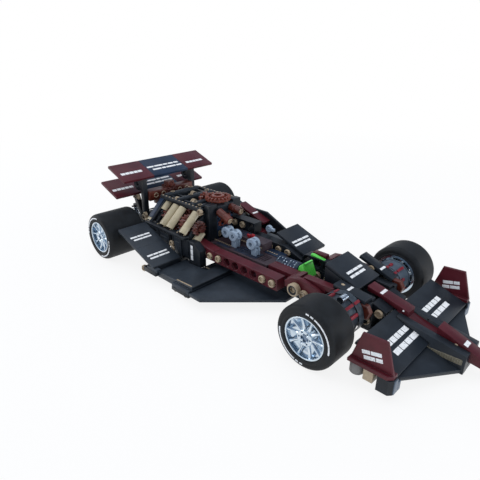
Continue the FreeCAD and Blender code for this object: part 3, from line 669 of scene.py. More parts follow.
panels = {
    "wingTop": panelFrame(rear(-13.7), 0, 67.0, 20),
    "wingLow": panelFrame(rear(-27.92), 0, 51.6, 20),
    "sideUpper": panelFrame(rear(20), 0, 28.2, 20),
    "sideLower": panelFrame(rear(62.0), 0, 9.0, -3.2),
    "leftDeck": panelFrame(rear(111.04), 0, 32.0, 20),
    "redDeck": panelFrame(rear(61.4), 0, 38.7, 19.5),
    "noseDeck": panelFrame(front(-20), 0, 36.4, 20),
    "visor": panelFrame(front(-13.9), 0, 34.0, 20),
    "shelf": panelFrame(front(-9), 0, 30.2, 7.4),
    "spineRear": panelFrame(front(3.4), 0, 27.6, 13.5),
    "spineTip": panelFrame(front(44), 0, 20.0, 19.84),
    "frontWing": panelFrame(front(20.7), 0, 20.3, 20),
}
printed = {
    "gap": 0.024,  # share of a bar that each gap in it takes
    # panel, distance down it, from and to across it, height of the bar, places of the gaps
    "single": (
        ("wingTop", 11.8, (-16.0, 14.5), 1.9, (0.22, 0.5, 0.66, 0.85)),
        ("wingTop", 16.0, (-13.0, 15.5), 1.9, (0.3, 0.45, 0.8)),
        ("wingTop", 14.2, (-41.0, -22.5), 2.7, (0.2, 0.4, 0.6, 0.8)),
        ("wingTop", 15.4, (21.0, 38.5), 2.4, (0.2, 0.4, 0.6, 0.8)),
        ("wingLow", 12.0, (-15.0, 14.5), 1.9, (0.25, 0.55, 0.7)),
        ("wingLow", 16.2, (-13.0, 15.5), 1.9, (0.35, 0.6, 0.85)),
        ("wingLow", 14.6, (-42.0, -23.5), 2.6, (0.2, 0.4, 0.6, 0.8)),
        ("wingLow", 14.6, (22.0, 40.5), 2.6, (0.2, 0.4, 0.6, 0.8)),
        ("leftDeck", 13.8, (13.8, 31.8), 1.7, (0.3, 0.62)),
        ("leftDeck", 17.0, (13.2, 30.4), 1.7, (0.5, 0.8)),
        ("redDeck", 15.2, (25.2, 30.8), 1.5, (0.33, 0.66)),
        ("noseDeck", 12.6, (-7.4, 8.6), 1.7, (0.4, 0.72)),
        ("noseDeck", 15.7, (-8.0, 7.2), 1.7, (0.3, 0.6)),
        ("visor", 14.8, (16.9, 22.6), 1.5, (0.4,)),
        ("shelf", 8.6, (-18.6, -13.4), 1.5, (0.5,)),
        ("spineRear", 8.4, (-3.2, 3.0), 1.7, (0.35, 0.7)),
        ("spineTip", 14.8, (-2.6, 2.4), 2.2, (0.5,)),
    ),
    "onBothSides": (
        ("sideUpper", 12.6, (-57.2, -41.0), 1.5, (0.35, 0.7)),
        ("sideUpper", 15.6, (-56.2, -41.4), 1.5, (0.5,)),
        ("sideUpper", 34.2, (-57.2, -40.6), 1.5, (0.3, 0.55)),
        ("sideUpper", 37.2, (-56.6, -40.6), 1.5, (0.45, 0.8)),
        ("frontWing", 10.9, (-31.6, -10.2), 3.0, (0.2, 0.42, 0.6, 0.78)),
        ("frontWing", 16.2, (-32.4, -8.8), 3.0, (0.25, 0.5, 0.72)),
    ),
    # from and to along each bar and across it
    "wall": (((-5.6, -2.0), (-1.2, 1.2)), ((-1.7, 2.6), (-1.2, 1.2)), ((2.9, 5.6), (-1.2, 1.2))),
    "cheek": (((-3.4, -0.4), (-0.8, 0.8)), ((0.2, 1.6), (-0.8, 0.8)), ((2.1, 3.4), (-0.8, 0.8))),
    "endPlate": (((-5.2, -1.0), (0.5, 2.5)), ((-0.6, 4.8), (0.5, 2.5)), ((-4.6, 1.2), (-2.4, -0.4)),
                 ((1.6, 5.0), (-2.4, -0.4))),
}


def inkBars(spots, low=-0.04, high=0.06):
    return [brick(x, y, (low, high), 0.02) for x, y in spots]


def stroke(u, v, height, gaps):
    # a printed bar across the panel, broken into dashes
    half, width = printed["gap"] / 2, v[1] - v[0]
    edges = [0.0] + [g for gap in gaps for g in (gap - half, gap + half)] + [1.0]
    return inkBars([((u - height / 2, u + height / 2), (v[0] + a * width, v[0] + b * width))
                    for a, b in zip(edges[::2], edges[1::2])], -0.02, 0.07)


def printedStrokes():
    shapes = []
    for name, *bar in printed["single"]:
        shapes += moved(stroke(*bar), panels[name])
    for name, *bar in printed["onBothSides"]:
        shapes += bothSides(moved(stroke(*bar), panels[name]))
    # upright stroke on the fairing ahead of each side wall, one along the red cheek, two on each end plate
    wall = at(rear(72.3), -33.6, 18.2) @ turned(90, "X") @ turned(90, "Z")
    cheek = at(front(-25.2), -20.9, 20.8) @ turned(90, "X") @ turned(39, "Z")
    shapes += bothSides(moved(inkBars(printed["wall"]), wall)) + bothSides(moved(inkBars(printed["cheek"]), cheek))
    for y, flip in ((48.0, 1), (46.4, -1)):
        plate = at(front(31.8), -y, 19.6) @ turned(90 * flip, "X") @ turned(14 * flip, "Z")
        shapes += bothSides(moved(inkBars(printed["endPlate"]), plate))
    return shapes


addPiece("printedStrokes", printedStrokes(), "whiteInk", smooth=20)

seams = {
    "width": 0.16,
    "length": 23.6,
    # panel, distance down it, middle across it
    "lines": (("sideUpper", 7.9, -48.0), ("sideUpper", 23.8, -48.0), ("sideLower", 12.6, -45.6),
              ("sideLower", 24.6, -45.6)),
}


def panelSeams():
    # narrow raised ribs where one building piece of a panel ends and the next begins
    shapes = []
    half, reach = seams["width"] / 2, seams["length"] / 2
    for name, u, v in seams["lines"]:
        line = brick((u - half, u + half), (v - reach, v + reach), (-0.06, 0.05), 0.02)
        shapes += bothSides([placed(line, panels[name])])
    return shapes


addPiece("panelSeams", panelSeams(), "blackAbs", smooth=20)


sideBoards = {
    "upper": ((0, 45.2), (-59.8, -36.2)),  # limits down the slope and across
    "lower": [(0, -57.5), (38.7, -57.5), (38.7, -21.5), (26.0, -21.5), (26.0, -33.7), (6.0, -33.7), (6.0, -30.6),
              (0, -30.6)],
    "lowerDepth": 2.9,
    "skirts": (((63.0, 100.0), (-57.3, -55.9), (5.2, 8.0)), ((54.6, 66.0), (-59.8, -56.4), (9.4, 11.6)),
               ((82.6, 100.0), (-59.8, -56.2), (5.8, 8.9))),
    "faces": (((61.2, 62.9), (-59.7, -36.2), (7.4, 12.5)), ((99.4, 100.75), (-57.4, -21.5), (6.1, 11.0))),
}


def sidePanels():
    # the tilted panel, the one below it, which widens inward at its front, and the skirts along their outer edge
    slope = placed(brick(*sideBoards["upper"], (-sheet, 0), 0.3), panels["sideUpper"])
    level = placed(punched(sideBoards["lower"], [], -sideBoards["lowerDepth"], 0, 0.3), panels["sideLower"])
    return bothSides([slope, level] + alongCar(sideBoards["skirts"], 0.3))


strips = [placed(brick((22.3, 37.5), (-56.8, -55.9), (-0.1, 0.18), 0.1), panels["sideLower"])]
strips += alongCar([((80.2, 88.4), (-28.8, -27.8), (7.9, 8.25))], 0.1)
# the side panels take the lighter grey copy, which is painted light
addPiece("sidePanels", sidePanels(), "paintedLitFloorGreyAbs", ["side_panels"])
addPiece("panelFaces", bothSides(alongCar(sideBoards["faces"], 0.2)), "blackAbs", slot="dark_grey_plastic")
addPiece("floorStrips", bothSides(strips), "tanAbs")
print("panels ready")


railStart = rear(1.25 * stud) + beamSide / 2 + 0.1
railCount = int((front(2.0 * stud) - railStart) / stud) + 1
railPlace = {"y": 12.0, "z": 14.0, "row": 7.9}  # row: from one beam of the wall to the next
redBeam = {"x": rear(11.7 * stud), "y": 24.0, "z": 18.8, "lower": 14.9, "holes": 7}
sideDeck = {"x": rear(111.04), "top": 32.0, "depth": 2.13, "gap": 0.1, "tilt": 20}


def cutAbove(x, z, tilt):
    # keeps what lies under a line that falls towards the nose
    slope = math.tan(math.radians(tilt))

    def clip(outline):
        kept = []
        for (ax, az), (bx, bz) in zip(outline, outline[1:] + outline[:1]):
            above = az - (z - (ax - x) * slope)
            beyond = bz - (z - (bx - x) * slope)
            if above <= 0:
                kept.append((ax, az))
            if above * beyond < 0:
                k = above / (above - beyond)
                kept.append((ax + (bx - ax) * k, az + (bz - az) * k))
        return kept

    return clip


underDeck = cutAbove(sideDeck["x"], sideDeck["top"] - sideDeck["depth"] - sideDeck["gap"], sideDeck["tilt"])
wallBeams = (
    # first hole, number of holes, rows above the rail, round ends, the holes that are open, what cuts its top
    (9.6, 8, 1, True, [0, 1, 2, 3], underDeck),
    (9.16, 3, 2.1, False, [0, 1, 2], underDeck),
    (17.6, 3, 1, True, [0, 1, 2], None),
)
walls = []
for first, count, row, roundEnds, spots, cut in wallBeams:
    z = railPlace["z"] + row * railPlace["row"]
    walls += beamAt(count, rear(first * stud), railPlace["y"], z, roundEnds, spots, cut)
rails = beamAt(railCount, railStart, railPlace["y"], railPlace["z"], False)
reds = beamAt(redBeam["holes"], redBeam["x"], -redBeam["y"], redBeam["z"], False)
reds += beamAt(redBeam["holes"], redBeam["x"], redBeam["y"], redBeam["lower"], False, [1, 2, 3, 4], underDeck)
addPiece("lowerRails", bothSides(rails), "blackAbs", ["lower_rails"])
addPiece("leftWallBeams", walls, "blackAbs", ["left_wall_beams"])
addPiece("redSideBeams", reds, "darkRedAbs", ["side_beams_red"])

edgePins = [(rear(57.4), 7.9), (rear(86.0), 5.0), (rear(96.4), 5.0)]
pins = {
    # name of the face they stand on: (direction, side position, (x, z) of each)
    "rightRed": (toRight, -27.9, [(redBeam["x"] + k * stud, redBeam["z"]) for k in (0, 5, 6)]),
    "rightWedge": (toRight, -27.9, [(rear(78.6), 19.0), (rear(85.2), 18.3)]),
    "leftWallInside": (toRight, 8.1, [(rear(x), z) for x, z in ((73.3, 30.6), (81.3, 30.6), (108.8, 21.9),
                                                                (116.8, 21.9), (124.8, 21.9))]),
    "railInside": (toRight, 8.1, [(railStart + k * stud, railPlace["z"]) for k in (17, 18, 19)]),
    "noseWall": (toRight, -12.1, [(front(-7.0), 25.4), (front(16.0), 18.6)]),
    "railOutside": (toRight, -15.9, [(front(10.8), 14.0), (front(-24.8), 14.0)]),
    "leftRed": (toLeft, 27.9, [(redBeam["x"] + k * stud, redBeam["lower"]) for k in (1, 3)]),
    "leftRail": (toLeft, 15.9, [(railStart + k * stud, railPlace["z"]) for k in (3, 4, 18, 19)]),
    "leftWallOutside": (toLeft, 15.9, [(rear(76.8), 21.9), (rear(81.3), 30.6), (rear(92.8), 21.9)]),
    "bankEnd": (toRight, -19.2, [(rear(65.6), 43.0)]),
    "edgeBeam": (toRight, -59.1, edgePins),
    "edgeBeamLeft": (toLeft, 59.1, edgePins),
}
pinSize = {"edge": (1.9, 0.7), "other": (2.45, 1.3)}  # radius and height of the pin ends, in mm
tanPins = []
for name, (direction, y, spots) in pins.items():
    size = pinSize["edge" if name.startswith("edge") else "other"]
    for x, z in spots:
        tanPins += aimed(pinEnd(*size), direction, x, y, z)
addPiece("tanPins", tanPins, "tanAbs")
print("beams and pins ready")


bank = {
    "start": rear(2.2 * stud),
    "length": 48.8,
    "topY": 19.2,
    "lowY": 33.6,
    "lowZ": 27.4,
    "roof": 44.0,
    "shaftY": 21.2,
    "shaftZ": 31.5,
}
bankEnd = bank["start"] + bank["length"]
bankBars = {
    "half": 3.7,  # mm, half the width of a bar
    "height": 2.9,
    "wall": 0.7,
    # station, sideways shift and drop of its top end, and its length, where 0 is from rail to rail
    "bars": ((37.0, 0, 0, 0), (45.0, 0, 0, 0), (60.5, 0, 0, 0), (24.4, -2.2, 0.6, 8.0), (69.0, 2.8, 12.2, 8.6)),
}


def halfRound(width, height):
    return [(width * math.cos(math.pi * i / 14), height * math.sin(math.pi * i / 14)) for i in range(15)]


def halfRoundBars():
    # ribbed half-round covers between the top and the low rail of each bank
    top = Vector((0, bank["topY"] - 1.2, bank["roof"] - 3.0))
    down = Vector((0, bank["lowY"] - 1.6, bank["lowZ"] + 1.1)) - top
    outward = Vector((0, down.z, -down.y)).normalized() * -1
    turn = Matrix((toNose, outward, down.normalized())).transposed().to_4x4()
    half, height, wall = bankBars["half"], bankBars["height"], bankBars["wall"]
    arc = halfRound(half, height)
    shell = arc + halfRound(half - wall, height - wall)[::-1]
    disc = [(0.81 * a, 0.76 * b) for a, b in arc]
    shapes = []
    for x, inward, drop, length in bankBars["bars"]:
        length = length or down.length
        place = at(rear(x), top.y + inward, top.z - drop) @ turn
        # closed ends, set a little back from the rim
        shapes += moved([punched(shell, [], 0, length, 0.15), punched(disc, [], 0.5, 1.1, 0.05),
                         punched(disc, [], length - 1.1, length - 0.5, 0.05)], place)
    return bothSides(shapes)


addPiece("bankBarCovers", halfRoundBars(), "goldAbs", ["bank_bars"])


def railRivets():
    # the row of small bright pegs along each top rail, and the ones at the feet of the low rail
    peg = lathe([(0, -0.2), (0.62, -0.2), (0.62, 0.22), (0.45, 0.38), (0, 0.42)], 10, False)
    spots = [(2.4 + i * 4.0, bank["topY"], bank["roof"] + 1.5) for i in range(12)]
    spots += [(5.0 + i * 8.0, bank["lowY"], bank["lowZ"] + 0.8) for i in range(6)]
    return bothSides([placed(peg, at(bank["start"] + x, y - 1.4, z)) for x, y, z in spots])


addPiece("railRivets", railRivets(), "tanAbs")

gearTrain = {
    # station, teeth, radius and width of each toothed wheel under a bank, and the stations of the bushes
    "gears": ((27.0, 8, 5.0, 4.5), (33.2, 16, 5.4, 2.4), (41.0, 12, 4.8, 2.6), (50.4, 14, 6.9, 5.0),
              (56.4, 16, 5.6, 2.6)),
    "bushes": (36.4, 46.2),
    "front": (14, 5.4, 4.0),
}


def engineGears():
    # geared shafts under each bank: toothed wheels, bushes and the cross axle they ride on, and a gear at the front
    start, y, z = bank["start"] + 8.9, bank["shaftY"], bank["shaftZ"]
    shapes = aimed([crossAxle(bankEnd - 2.1 - start)], toNose, start, y, z)
    for x, teeth, radius, width in gearTrain["gears"]:
        shapes += aimed(gear(teeth, radius, width), toNose, rear(x), y, z)
    for x in gearTrain["bushes"]:
        shapes += aimed(bush(3.4, 3.2), toNose, rear(x), y, z)
    lead = gear(*gearTrain["front"]) + [crossAxle(6.4)]
    return bothSides(shapes) + aimed(lead, toNose, bankEnd + 0.1, -23.2, z + 1.2)


# the gears behind the bank bars take the darker brown as painted shade
addPiece("engineGearTrain", engineGears(), "darkBrownAndPaintedShadeAbs", ["engine_gears"])

cranks = {
    # station, height and radius of each cap, then station and height of each connector
    "caps": ((21.5, 36.5, 3.4), (31.6, 37.2, 3.0), (40.2, 37.0, 3.2), (49.0, 38.2, 2.8), (56.0, 37.6, 3.0)),
    "connectors": ((24.0, 26.4), (34.5, 25.8), (45.5, 26.2), (57.8, 26.0)),
    # station, side and height of the pale pin ends between them
    "pins": ((20.2, -20.0, 34.8), (29.8, -22.0, 27.2), (39.6, -24.2, 29.4), (48.4, -25.6, 26.8), (63.0, -26.2, 24.4)),
}


def engineCranks():
    # cranks, connectors and caps crowded round the shafts behind the bars
    shapes = []
    for x, z, size in cranks["caps"]:
        cap = lathe([(1.3, -2.8), (size, -2.8), (size, 2.2), (size - 0.5, 2.7), (1.6, 2.7), (1.3, 2.3)], 20)
        shapes += aimed([cap], toRight, rear(x), -15.0, z)
        shapes.append(brick((rear(x) - 1.6, rear(x) + 1.6), (-17.2, -13.2), (z - 7.4, z - 2.4), 0.3))
    for x, z in cranks["connectors"]:
        shapes.append(brick((rear(x) - 2.4, rear(x) + 2.4), (-27.0, -21.0), (z - 2.0, z + 1.6), 0.4))
    return bothSides(shapes)


# the cranks behind the bank bars take the darker brown as painted shade
addPiece("engineCranks", engineCranks(), "darkBrownAndPaintedShadeAbs")
ends = spread(pinEnd(1.7, 1.0), (0, -0.75, 0.6), cranks["pins"])
addPiece("enginePinEnds", bothSides(ends), "paleBlueAbs")

roofParts = {
    # from and to along the car, side and height of the cross axles between the roof beams
    "axles": ((22.0, 60.0, 6.4, 42.2), (22.0, 60.0, -6.4, 42.2), (24.0, 47.0, 12.6, 42.6), (24.0, 47.0, -12.6, 42.6)),
    # station, side and height of the bushes on them
    "bushes": ((26.0, 6.4, 42.2), (42.0, -6.4, 42.2), (30.0, -12.6, 42.6), (41.5, 12.6, 42.6)),
    # station and side of the pins on the roof
    "pins": ((20.5, 9.0), (20.5, -9.0), (36.8, -4.0), (36.8, 12.4), (52.8, 12.0), (60.8, 15.0), (60.8, -15.0),
             (52.8, -13.0)),
}
axles = [placed(crossAxle(x1 - x0), facing(toNose, rear(x0), y, z)) for x0, x1, y, z in roofParts["axles"]]
ends = spread(bush(2.9, 3.0), toNose, roofParts["bushes"])
ends += [s for x, y in roofParts["pins"] for s in moved(pinEnd(1.5, 0.5), at(rear(x), y, bank["roof"] + 2.4))]
addPiece("roofAxles", axles, "blackAbs")
addPiece("roofPinEnds", ends, "tanAbs")

crown = {"radius": 9.45, "teeth": 20, "toothHalf": 0.62, "holes": 6, "pinion": (12, 5.15, 2.8)}


def roofGearSet():
    # crown gear with upright teeth on its rim, and the pinion that meets it
    radius, half = crown["radius"], (-crown["toothHalf"], crown["toothHalf"])
    place = at(rear(63.5), 0, bank["roof"] + 2.5)
    web = punched(circle(radius - 0.45, 48), ringOf(crown["holes"], 5.6, 1.35, 16, 0.5) + [crossHole], 1.6, 3.0, 0.2)
    hub = lathe([(2.6, 0), (4.9, 0), (4.9, 4.7), (4.5, 5.1), (2.9, 5.1), (2.6, 4.8)], 32)
    shapes = moved([web, hub], place)
    tooth = [brick((6.9, radius), half, (2.6, 4.55), 0.25), brick((8.6, radius), half, (1.65, 3.0), 0.2)]
    for i in range(crown["teeth"]):
        shapes += moved(tooth, place @ turned(360 * i / crown["teeth"], "Z"))
    shapes += aimed(gear(*crown["pinion"]), toNose, rear(47.4), 0, bank["roof"] + 1.6)
    return shapes + aimed([crossAxle(9.0)], toNose, rear(44.0), 0, bank["roof"] + 1.6)


addPiece("roofGearSet", roofGearSet(), "brownAbs", ["roof_gears"])

connectors = ((12.0, -8.2, 42.8, 20), (10.5, 4.4, 43.4, 6))  # length, side, height and dip of each round connector


def roundConnectors():
    # two ahead of the roof gears, and the pin end in each
    shapes, ends = [], []
    for length, y, z, tilt in connectors:
        place = at(bankEnd + 6.1 + 3.3 * math.sin(math.radians(tilt)), y, z) @ turned(90 + tilt, "Y")
        tube = [(2.2, 0), (2.95, 0), (2.95, length * 0.42), (2.6, length * 0.45), (2.6, length * 0.55),
                (2.95, length * 0.58), (2.95, length), (2.2, length), (2.2, length - 2.0)]
        shapes += moved([lathe(tube, 28), lathe(band(0, 2.19, 0.3, length - 2.2), 20, False)], place)
        ends += moved(pinEnd(2.05, 0.6), place @ at(0, 0, length))
    return shapes, ends


tubes, ends = roundConnectors()
addPiece("roundConnectors", tubes, "darkBrownAndPaintedShadeAbs")
addPiece("connectorPins", ends, "tanAbs")


wingDrive = {
    "x": rear(3.0),
    "z": 42.6,
    "clutch": (16, 5.6, 2.4),  # teeth, radius and width of each toothed half
    "clutchSides": (-5.0, 2.6),
    "crank": ((-2.4, 3.4), (-3.2, 3.2), (46.2, 50.8)),
    "beamPins": (8.4, 15.6),
    # station, side and height of the pins on the wing posts, with their radius and height
    "postPins": ((5.0, -26.0, 27.5, 2.3, 1.2), (-9.0, -26.0, 40.2, 1.9, 0.6)),
}


def wingMechanism():
    # toothed clutch, crank and cap on the beam between the wing posts
    x, z = wingDrive["x"], wingDrive["z"]
    shapes = [s for y in wingDrive["clutchSides"] for s in aimed(gear(*wingDrive["clutch"]), toLeft, x, y, z)]
    along, across, up = wingDrive["crank"]
    shapes += aimed(bush(4.4, 4.6), toLeft, x, -2.2, z)
    shapes.append(brick((x + along[0], x + along[1]), across, up, 0.5))
    return shapes + aimed(pinEnd(2.2, 0.9), toNose, x + 3.3, 0, 48.4)


def wingPins():
    # pale pins on the wing posts and the cross beam
    shapes = [s for y in wingDrive["beamPins"] for s in aimed(pinEnd(2.1, 0.5), toNose, wingDrive["x"] + 3.9, y, 42.1)]
    for x, y, z, radius, height in wingDrive["postPins"]:
        shapes += aimed(pinEnd(radius, height), toRight, rear(x), y, z)
    return bothSides(shapes)


addPiece("wingMechanism", wingMechanism(), "darkBrownAndPaintedShadeAbs", ["wing_drive"])
addPiece("wingPins", wingPins(), "tanAbs")
print("engine ready")


deckBase = 18.0
unitTop = deckBase + 3.4
grips = (
    # station and height of each grip, then how far back and how high each of its knuckles stands
    (91.5, 6.5, ((-0.4, 2.0), (-7.8, 2.8))),
    (110.6, 5.4, ((-2.2, 2.4),)),
)


def leverGrips():
    # grips made of forked connectors: a ribbed stem with an axle hole, and round knuckles with open bores
    shapes = []
    ring = lathe([(1.5, 0), (3.6, 0), (3.95, 0.4), (3.95, 1.9), (3.6, 2.3), (1.5, 2.3)], 28)
    lug = brick((2.6, 3.9), (-11.9, -6.2), (-0.7, 0.7), 0.3)
    for x, top, heads in grips:
        stemTop = unitTop + top
        for y in (-11.3, -8.0):
            shapes.append(brick((rear(x) - 2.2, rear(x) + 2.2), (y, y + 1.3), (unitTop, stemTop), 0.35))
        shapes.append(brick((rear(x) - 1.5, rear(x) + 1.5), (-11.0, -7.0), (unitTop, stemTop - 1.2), 0.4))
        for offset, height in heads:
            x1, z = rear(x + offset), stemTop + height
            for y in (-12.2, -8.2):
                shapes += aimed([ring], toLeft, x1, y, z)
            shapes += aimed([lathe(band(1.5, 2.6, 0, 3.0), 24)], toLeft, x1, -10.6, z)
            for angle in (35, 125, 215, 305):
                shapes.append(placed(lug, at(x1, 0, z) @ turned(angle, "Y")))
    return shapes


addPiece("leverGrips", leverGrips(), "paleBlueAbs", ["levers"])

vents = {
    # first station, number of slots, from and to across
    "rows": ((77.0, 11, -15.2, -11.9), (94.5, 18, -14.6, -5.0)),
    "pitch": 1.15,
    "slot": 0.45,
}


def unitVents():
    # the unit's grilles, seams and end stripes
    shapes = []
    for i in range(6):
        x = rear(79.0 + 2.4 * i)
        shapes.append(brick((x, x + 1.1), (-1.6, 6.0), (deckBase + 9.45, deckBase + 9.75), 0.1))
    for start, count, low, high in vents["rows"]:
        for i in range(count):
            x = rear(start + vents["pitch"] * i)
            shapes.append(brick((x, x + vents["slot"]), (low, high), (unitTop - 0.05, unitTop + 0.22), 0.06))
        span = (rear(start), rear(start + vents["pitch"] * count))
        for k in range(3):
            y = low + (high - low) * (k + 0.5) / 3
            shapes.append(brick(span, (y - 0.2, y + 0.2), (unitTop - 0.05, unitTop + 0.16), 0.05))
    shapes.append(brick((rear(112.2), rear(126.2)), (-2.0, 6.2), (unitTop - 0.05, unitTop + 0.5), 0.2))
    return shapes


contacts = (
    # number, first station, pitch and length of each row of pale contacts, then their limits across and in height
    (12, 67.0, 1.9, 1.0, (-11.2, -10.3), (unitTop - 0.1, unitTop + 0.3)),
    (10, 91.4, 2.05, 1.2, (-3.55, -3.1), (deckBase + 6.2, deckBase + 7.1)),
    (5, 112.6, 2.0, 1.1, (0.2, 1.1), (unitTop + 0.4, unitTop + 0.75)),
)
keyFoot = deckBase + 9.3
keys = (((95.2, 97.6), (-1.2, 0.6), (keyFoot, keyFoot + 2.3)), ((98.4, 100.6), (-0.6, 1.0), (keyFoot, keyFoot + 3.1)),
        ((93.0, 94.6), (0.4, 2.0), (keyFoot, keyFoot + 1.5)))
pads = [brick((rear(start + pitch * i), rear(start + pitch * i) + length), y, z, 0.08)
        for count, start, pitch, length, y, z in contacts for i in range(count)]
addPiece("unitVents", unitVents(), "navyAbs")
addPiece("unitContacts", pads, "tanAbs")
addPiece("redKeys", alongCar(keys, 0.3), "signalRedAbs")

controlBlock = {
    "y": -3.2,
    "z": deckBase + 1.0,
    "ribs": (0.6, 5.2, 9.8, 14.4),
    "pegRadius": 5.6,
    "pegAngles": (104, 122, 142, 160),
    "pegsInRow": 7,
    "pegPitch": 2.3,
    "pegDrift": 0.3,
    "pegsLeftOut": 0.25,
}


def controlRibs():
    # the round block ahead of the unit: its ribs
    place = facing(toNose, rear(127.3), controlBlock["y"], controlBlock["z"])
    return moved([lathe(band(5.3, 5.75, z, z + 0.9), 30, True, 92, 176) for z in controlBlock["ribs"]], place)


def controlPegs():
    # rows of pegs along it, a few of them left out
    random.seed(11)
    peg = lathe([(0, -0.3), (0.48, -0.3), (0.48, 0.25), (0.3, 0.42), (0, 0.45)], 8, False)
    radius, drift = controlBlock["pegRadius"], controlBlock["pegDrift"]
    shapes = []
    for angle in controlBlock["pegAngles"]:
        across, up = math.cos(math.radians(angle)), math.sin(math.radians(angle))
        for i in range(controlBlock["pegsInRow"]):
            if random.random() < controlBlock["pegsLeftOut"]:
                continue
            x = rear(128.4 + controlBlock["pegPitch"] * i + random.uniform(-drift, drift))
            y, z = controlBlock["y"] + radius * across, controlBlock["z"] + radius * up
            shapes += aimed([peg], (0, across, up), x, y, z)
    return shapes


addPiece("controlRibs", controlRibs(), "drumAbs")
addPiece("controlPegs", controlPegs(), "springSteel")

# a rib down the back of the green seat, a green slope on the far wall, and a red slice beside it
slope = fromRear([(143.5, 25.8), (154.0, 25.8), (153.6, 26.0), (145.5, 27.2), (143.5, 27.2)])
rib = alongCar([((149.2, 150.6), (-6.6, 1.0), (deckBase + 9.0, deckBase + 9.8))], 0.25)
addPiece("greenTrim", rib + [sideShape(slope, (8.3, 11.0), [], 0.2)], "greenAbs")
addPiece("redSlice", alongCar([((143.0, 153.0), (11.4, 15.7), (25.8, 27.8))], 0.35), "darkRedAbs")

redPanel = {"x": rear(61.4), "z": 38.7, "tilt": 19.5, "length": 27.9, "across": (24.0, 32.0)}
fairings = {
    # outlines from the side: x from the rear axle, z
    "left": ((66.0, 19.0), (66.0, 34.4), (67.0, 35.0), (84.0, 35.0), (102.2, 26.8), (106.0, 24.6), (106.0, 21.0),
             (100.0, 19.0)),
    "skin": ((148.0, 18.2), (147.6, 22.0), (152.5, 26.0), (160.0, 27.2), (172.0, 24.6), (176.5, 21.0), (176.0, 17.0),
             (168.0, 15.6), (156.0, 15.8)),
    "tail": ((147.4, 18.2), (147.4, 22.4), (153.6, 26.4), (157.0, 26.8), (157.0, 18.2)),
}


def redFairings():
    # wedges behind the red beams, fairings ahead of them, the ledge beside the control block and the small panel
    z = redBeam["z"]
    foot = z - 3.9
    wedge = fromRear([(67.6, z + 6.5), (89.2, z + 3.9), (89.2, foot), (67.6, foot)])
    cheek = fromRear([(150.4, foot), (151.2, foot + 5.0), (160.0, foot + 12.9)])
    cheek += fromFront([(-8.0, foot + 12.9), (-7.0, foot + 9.3), (-12.6, foot + 9.3), (-14.0, foot)])
    shapes = bothSides([sideShape(wedge, (-27.9, -20.1), [], 0.4), sideShape(cheek, (-20.9, -16.0), [], 0.4)])
    shapes += alongCar([((128.0, 148.8), (-15.9, -8.1), (deckBase, 22.6))], 0.35)
    panel = brick((0, redPanel["length"]), redPanel["across"], (-sheet, 0), 0.3)
    return shapes + [placed(panel, panelFrame(redPanel["x"], 0, redPanel["z"], redPanel["tilt"]))]


# the upright panel beside the cockpit on the left is flat on top and then slopes down to the deck
left = sideShape(fromRear(fairings["left"]), (31.7, 33.6), [circle(2.4, 20, rear(76.0), 28.0)], 0.35)
# the fairing's outer skin runs back over the end of the second red beam
skin = [sideShape(fromRear(fairings["skin"]), (-23.9, -21.0), [circle(2.4, 16, rear(156.6), 19.8)], 0.5),
        sideShape(fromRear(fairings["tail"]), (-20.9, -12.4), [], 0.6)]
addPiece("redFairings", redFairings(), "darkRedAbs", ["side_wedges_red"])
addPiece("leftFairing", [left], "blackAbs")
addPiece("fairingSkin", bothSides(skin), "darkRedAbs")

cheekAxles = {"large": (rear(156.6), 19.8), "small": (rear(163.2), 18.4)}


def cheekBushes():
    # the large bush on the axle through the red cheek, and the small one ahead of it
    (x, z), (x1, z1) = cheekAxles["large"], cheekAxles["small"]
    large = lathe([(2.4, 0), (3.9, 0), (3.9, 0.8), (3.5, 1.2), (4.1, 1.9), (4.1, 3.0), (3.7, 3.5), (3.0, 3.5),
                   (3.0, 2.8), (2.4, 2.4)], 32)
    shapes = aimed([large], toRight, x, -23.9, z) + aimed(pinEnd(1.9, 1.2), toRight, x, -25.6, z)
    shapes += aimed(bush(2.8, 1.9), toRight, x1, -23.9, z1) + aimed(pinEnd(1.9, 0.9), toRight, x1, -25.4, z1)
    return bothSides(shapes)


rings = aimed([lathe(band(2.05, 2.95, 0, 0.7), 28)], toRight, cheekAxles["large"][0], -26.5, cheekAxles["large"][1])
addPiece("cheekBushes", cheekBushes(), "tanAbs")
addPiece("cheekRings", bothSides(rings), "blackAbs")
print("cockpit ready")


kingpin = {"x": frontAxle.x, "y": 36.1, "z": frontAxle.z}
hubs = {
    # the red bars on the drum and on the fixed cowl are each (angle up from the nose, inner and outer side position)
    "left": {
        "side": 1,
        "finish": "drumAbs",
        "spring": None,  # angle of the coil unit, where there is one
        "radius": 10.3,
        "drumSeat": (10.0, 11.3),
        "cowlSeat": (10.1, 11.3),
        "drumBars": ((85, 26.4, 30.0), (54, 26.4, 34.0), (21, 26.4, 29.3), (150, 27.1, 36.3), (210, 27.1, 36.3),
                     (270, 27.1, 36.3), (330, 27.1, 36.3)),
        "cowlBars": ((85, 22.6, 24.9), (54, 22.6, 24.9)),
        "cowl": [(9.9, 1.0), (10.2, 1.0), (10.4, 1.2), (10.5, 4.7), (10.3, 4.9), (9.6, 4.9)],
    },
    "right": {
        "side": -1,
        "finish": "pearlAbs",
        "spring": 75,
        "radius": 11.2,
        "drumSeat": (11.0, 12.4),
        "cowlSeat": (12.0, 12.9),
        "drumBars": ((110, 26.4, 31.0), (50, 26.4, 33.5), (24, 26.4, 33.0), (170, 27.1, 36.3), (225, 27.1, 36.3),
                     (275, 27.1, 36.3), (330, 27.1, 36.3)),
        "cowlBars": ((110, 22.0, 25.7), (50, 20.9, 25.7)),
        "cowl": [(11.9, 0), (12.1, 0), (12.25, 0.15), (12.3, 4.7), (12.1, 4.9), (11.6, 4.9)],
    },
}


def hubFrame(angle):
    return at(kingpin["x"], 0, kingpin["z"]) @ turned(90 - angle, "Y")


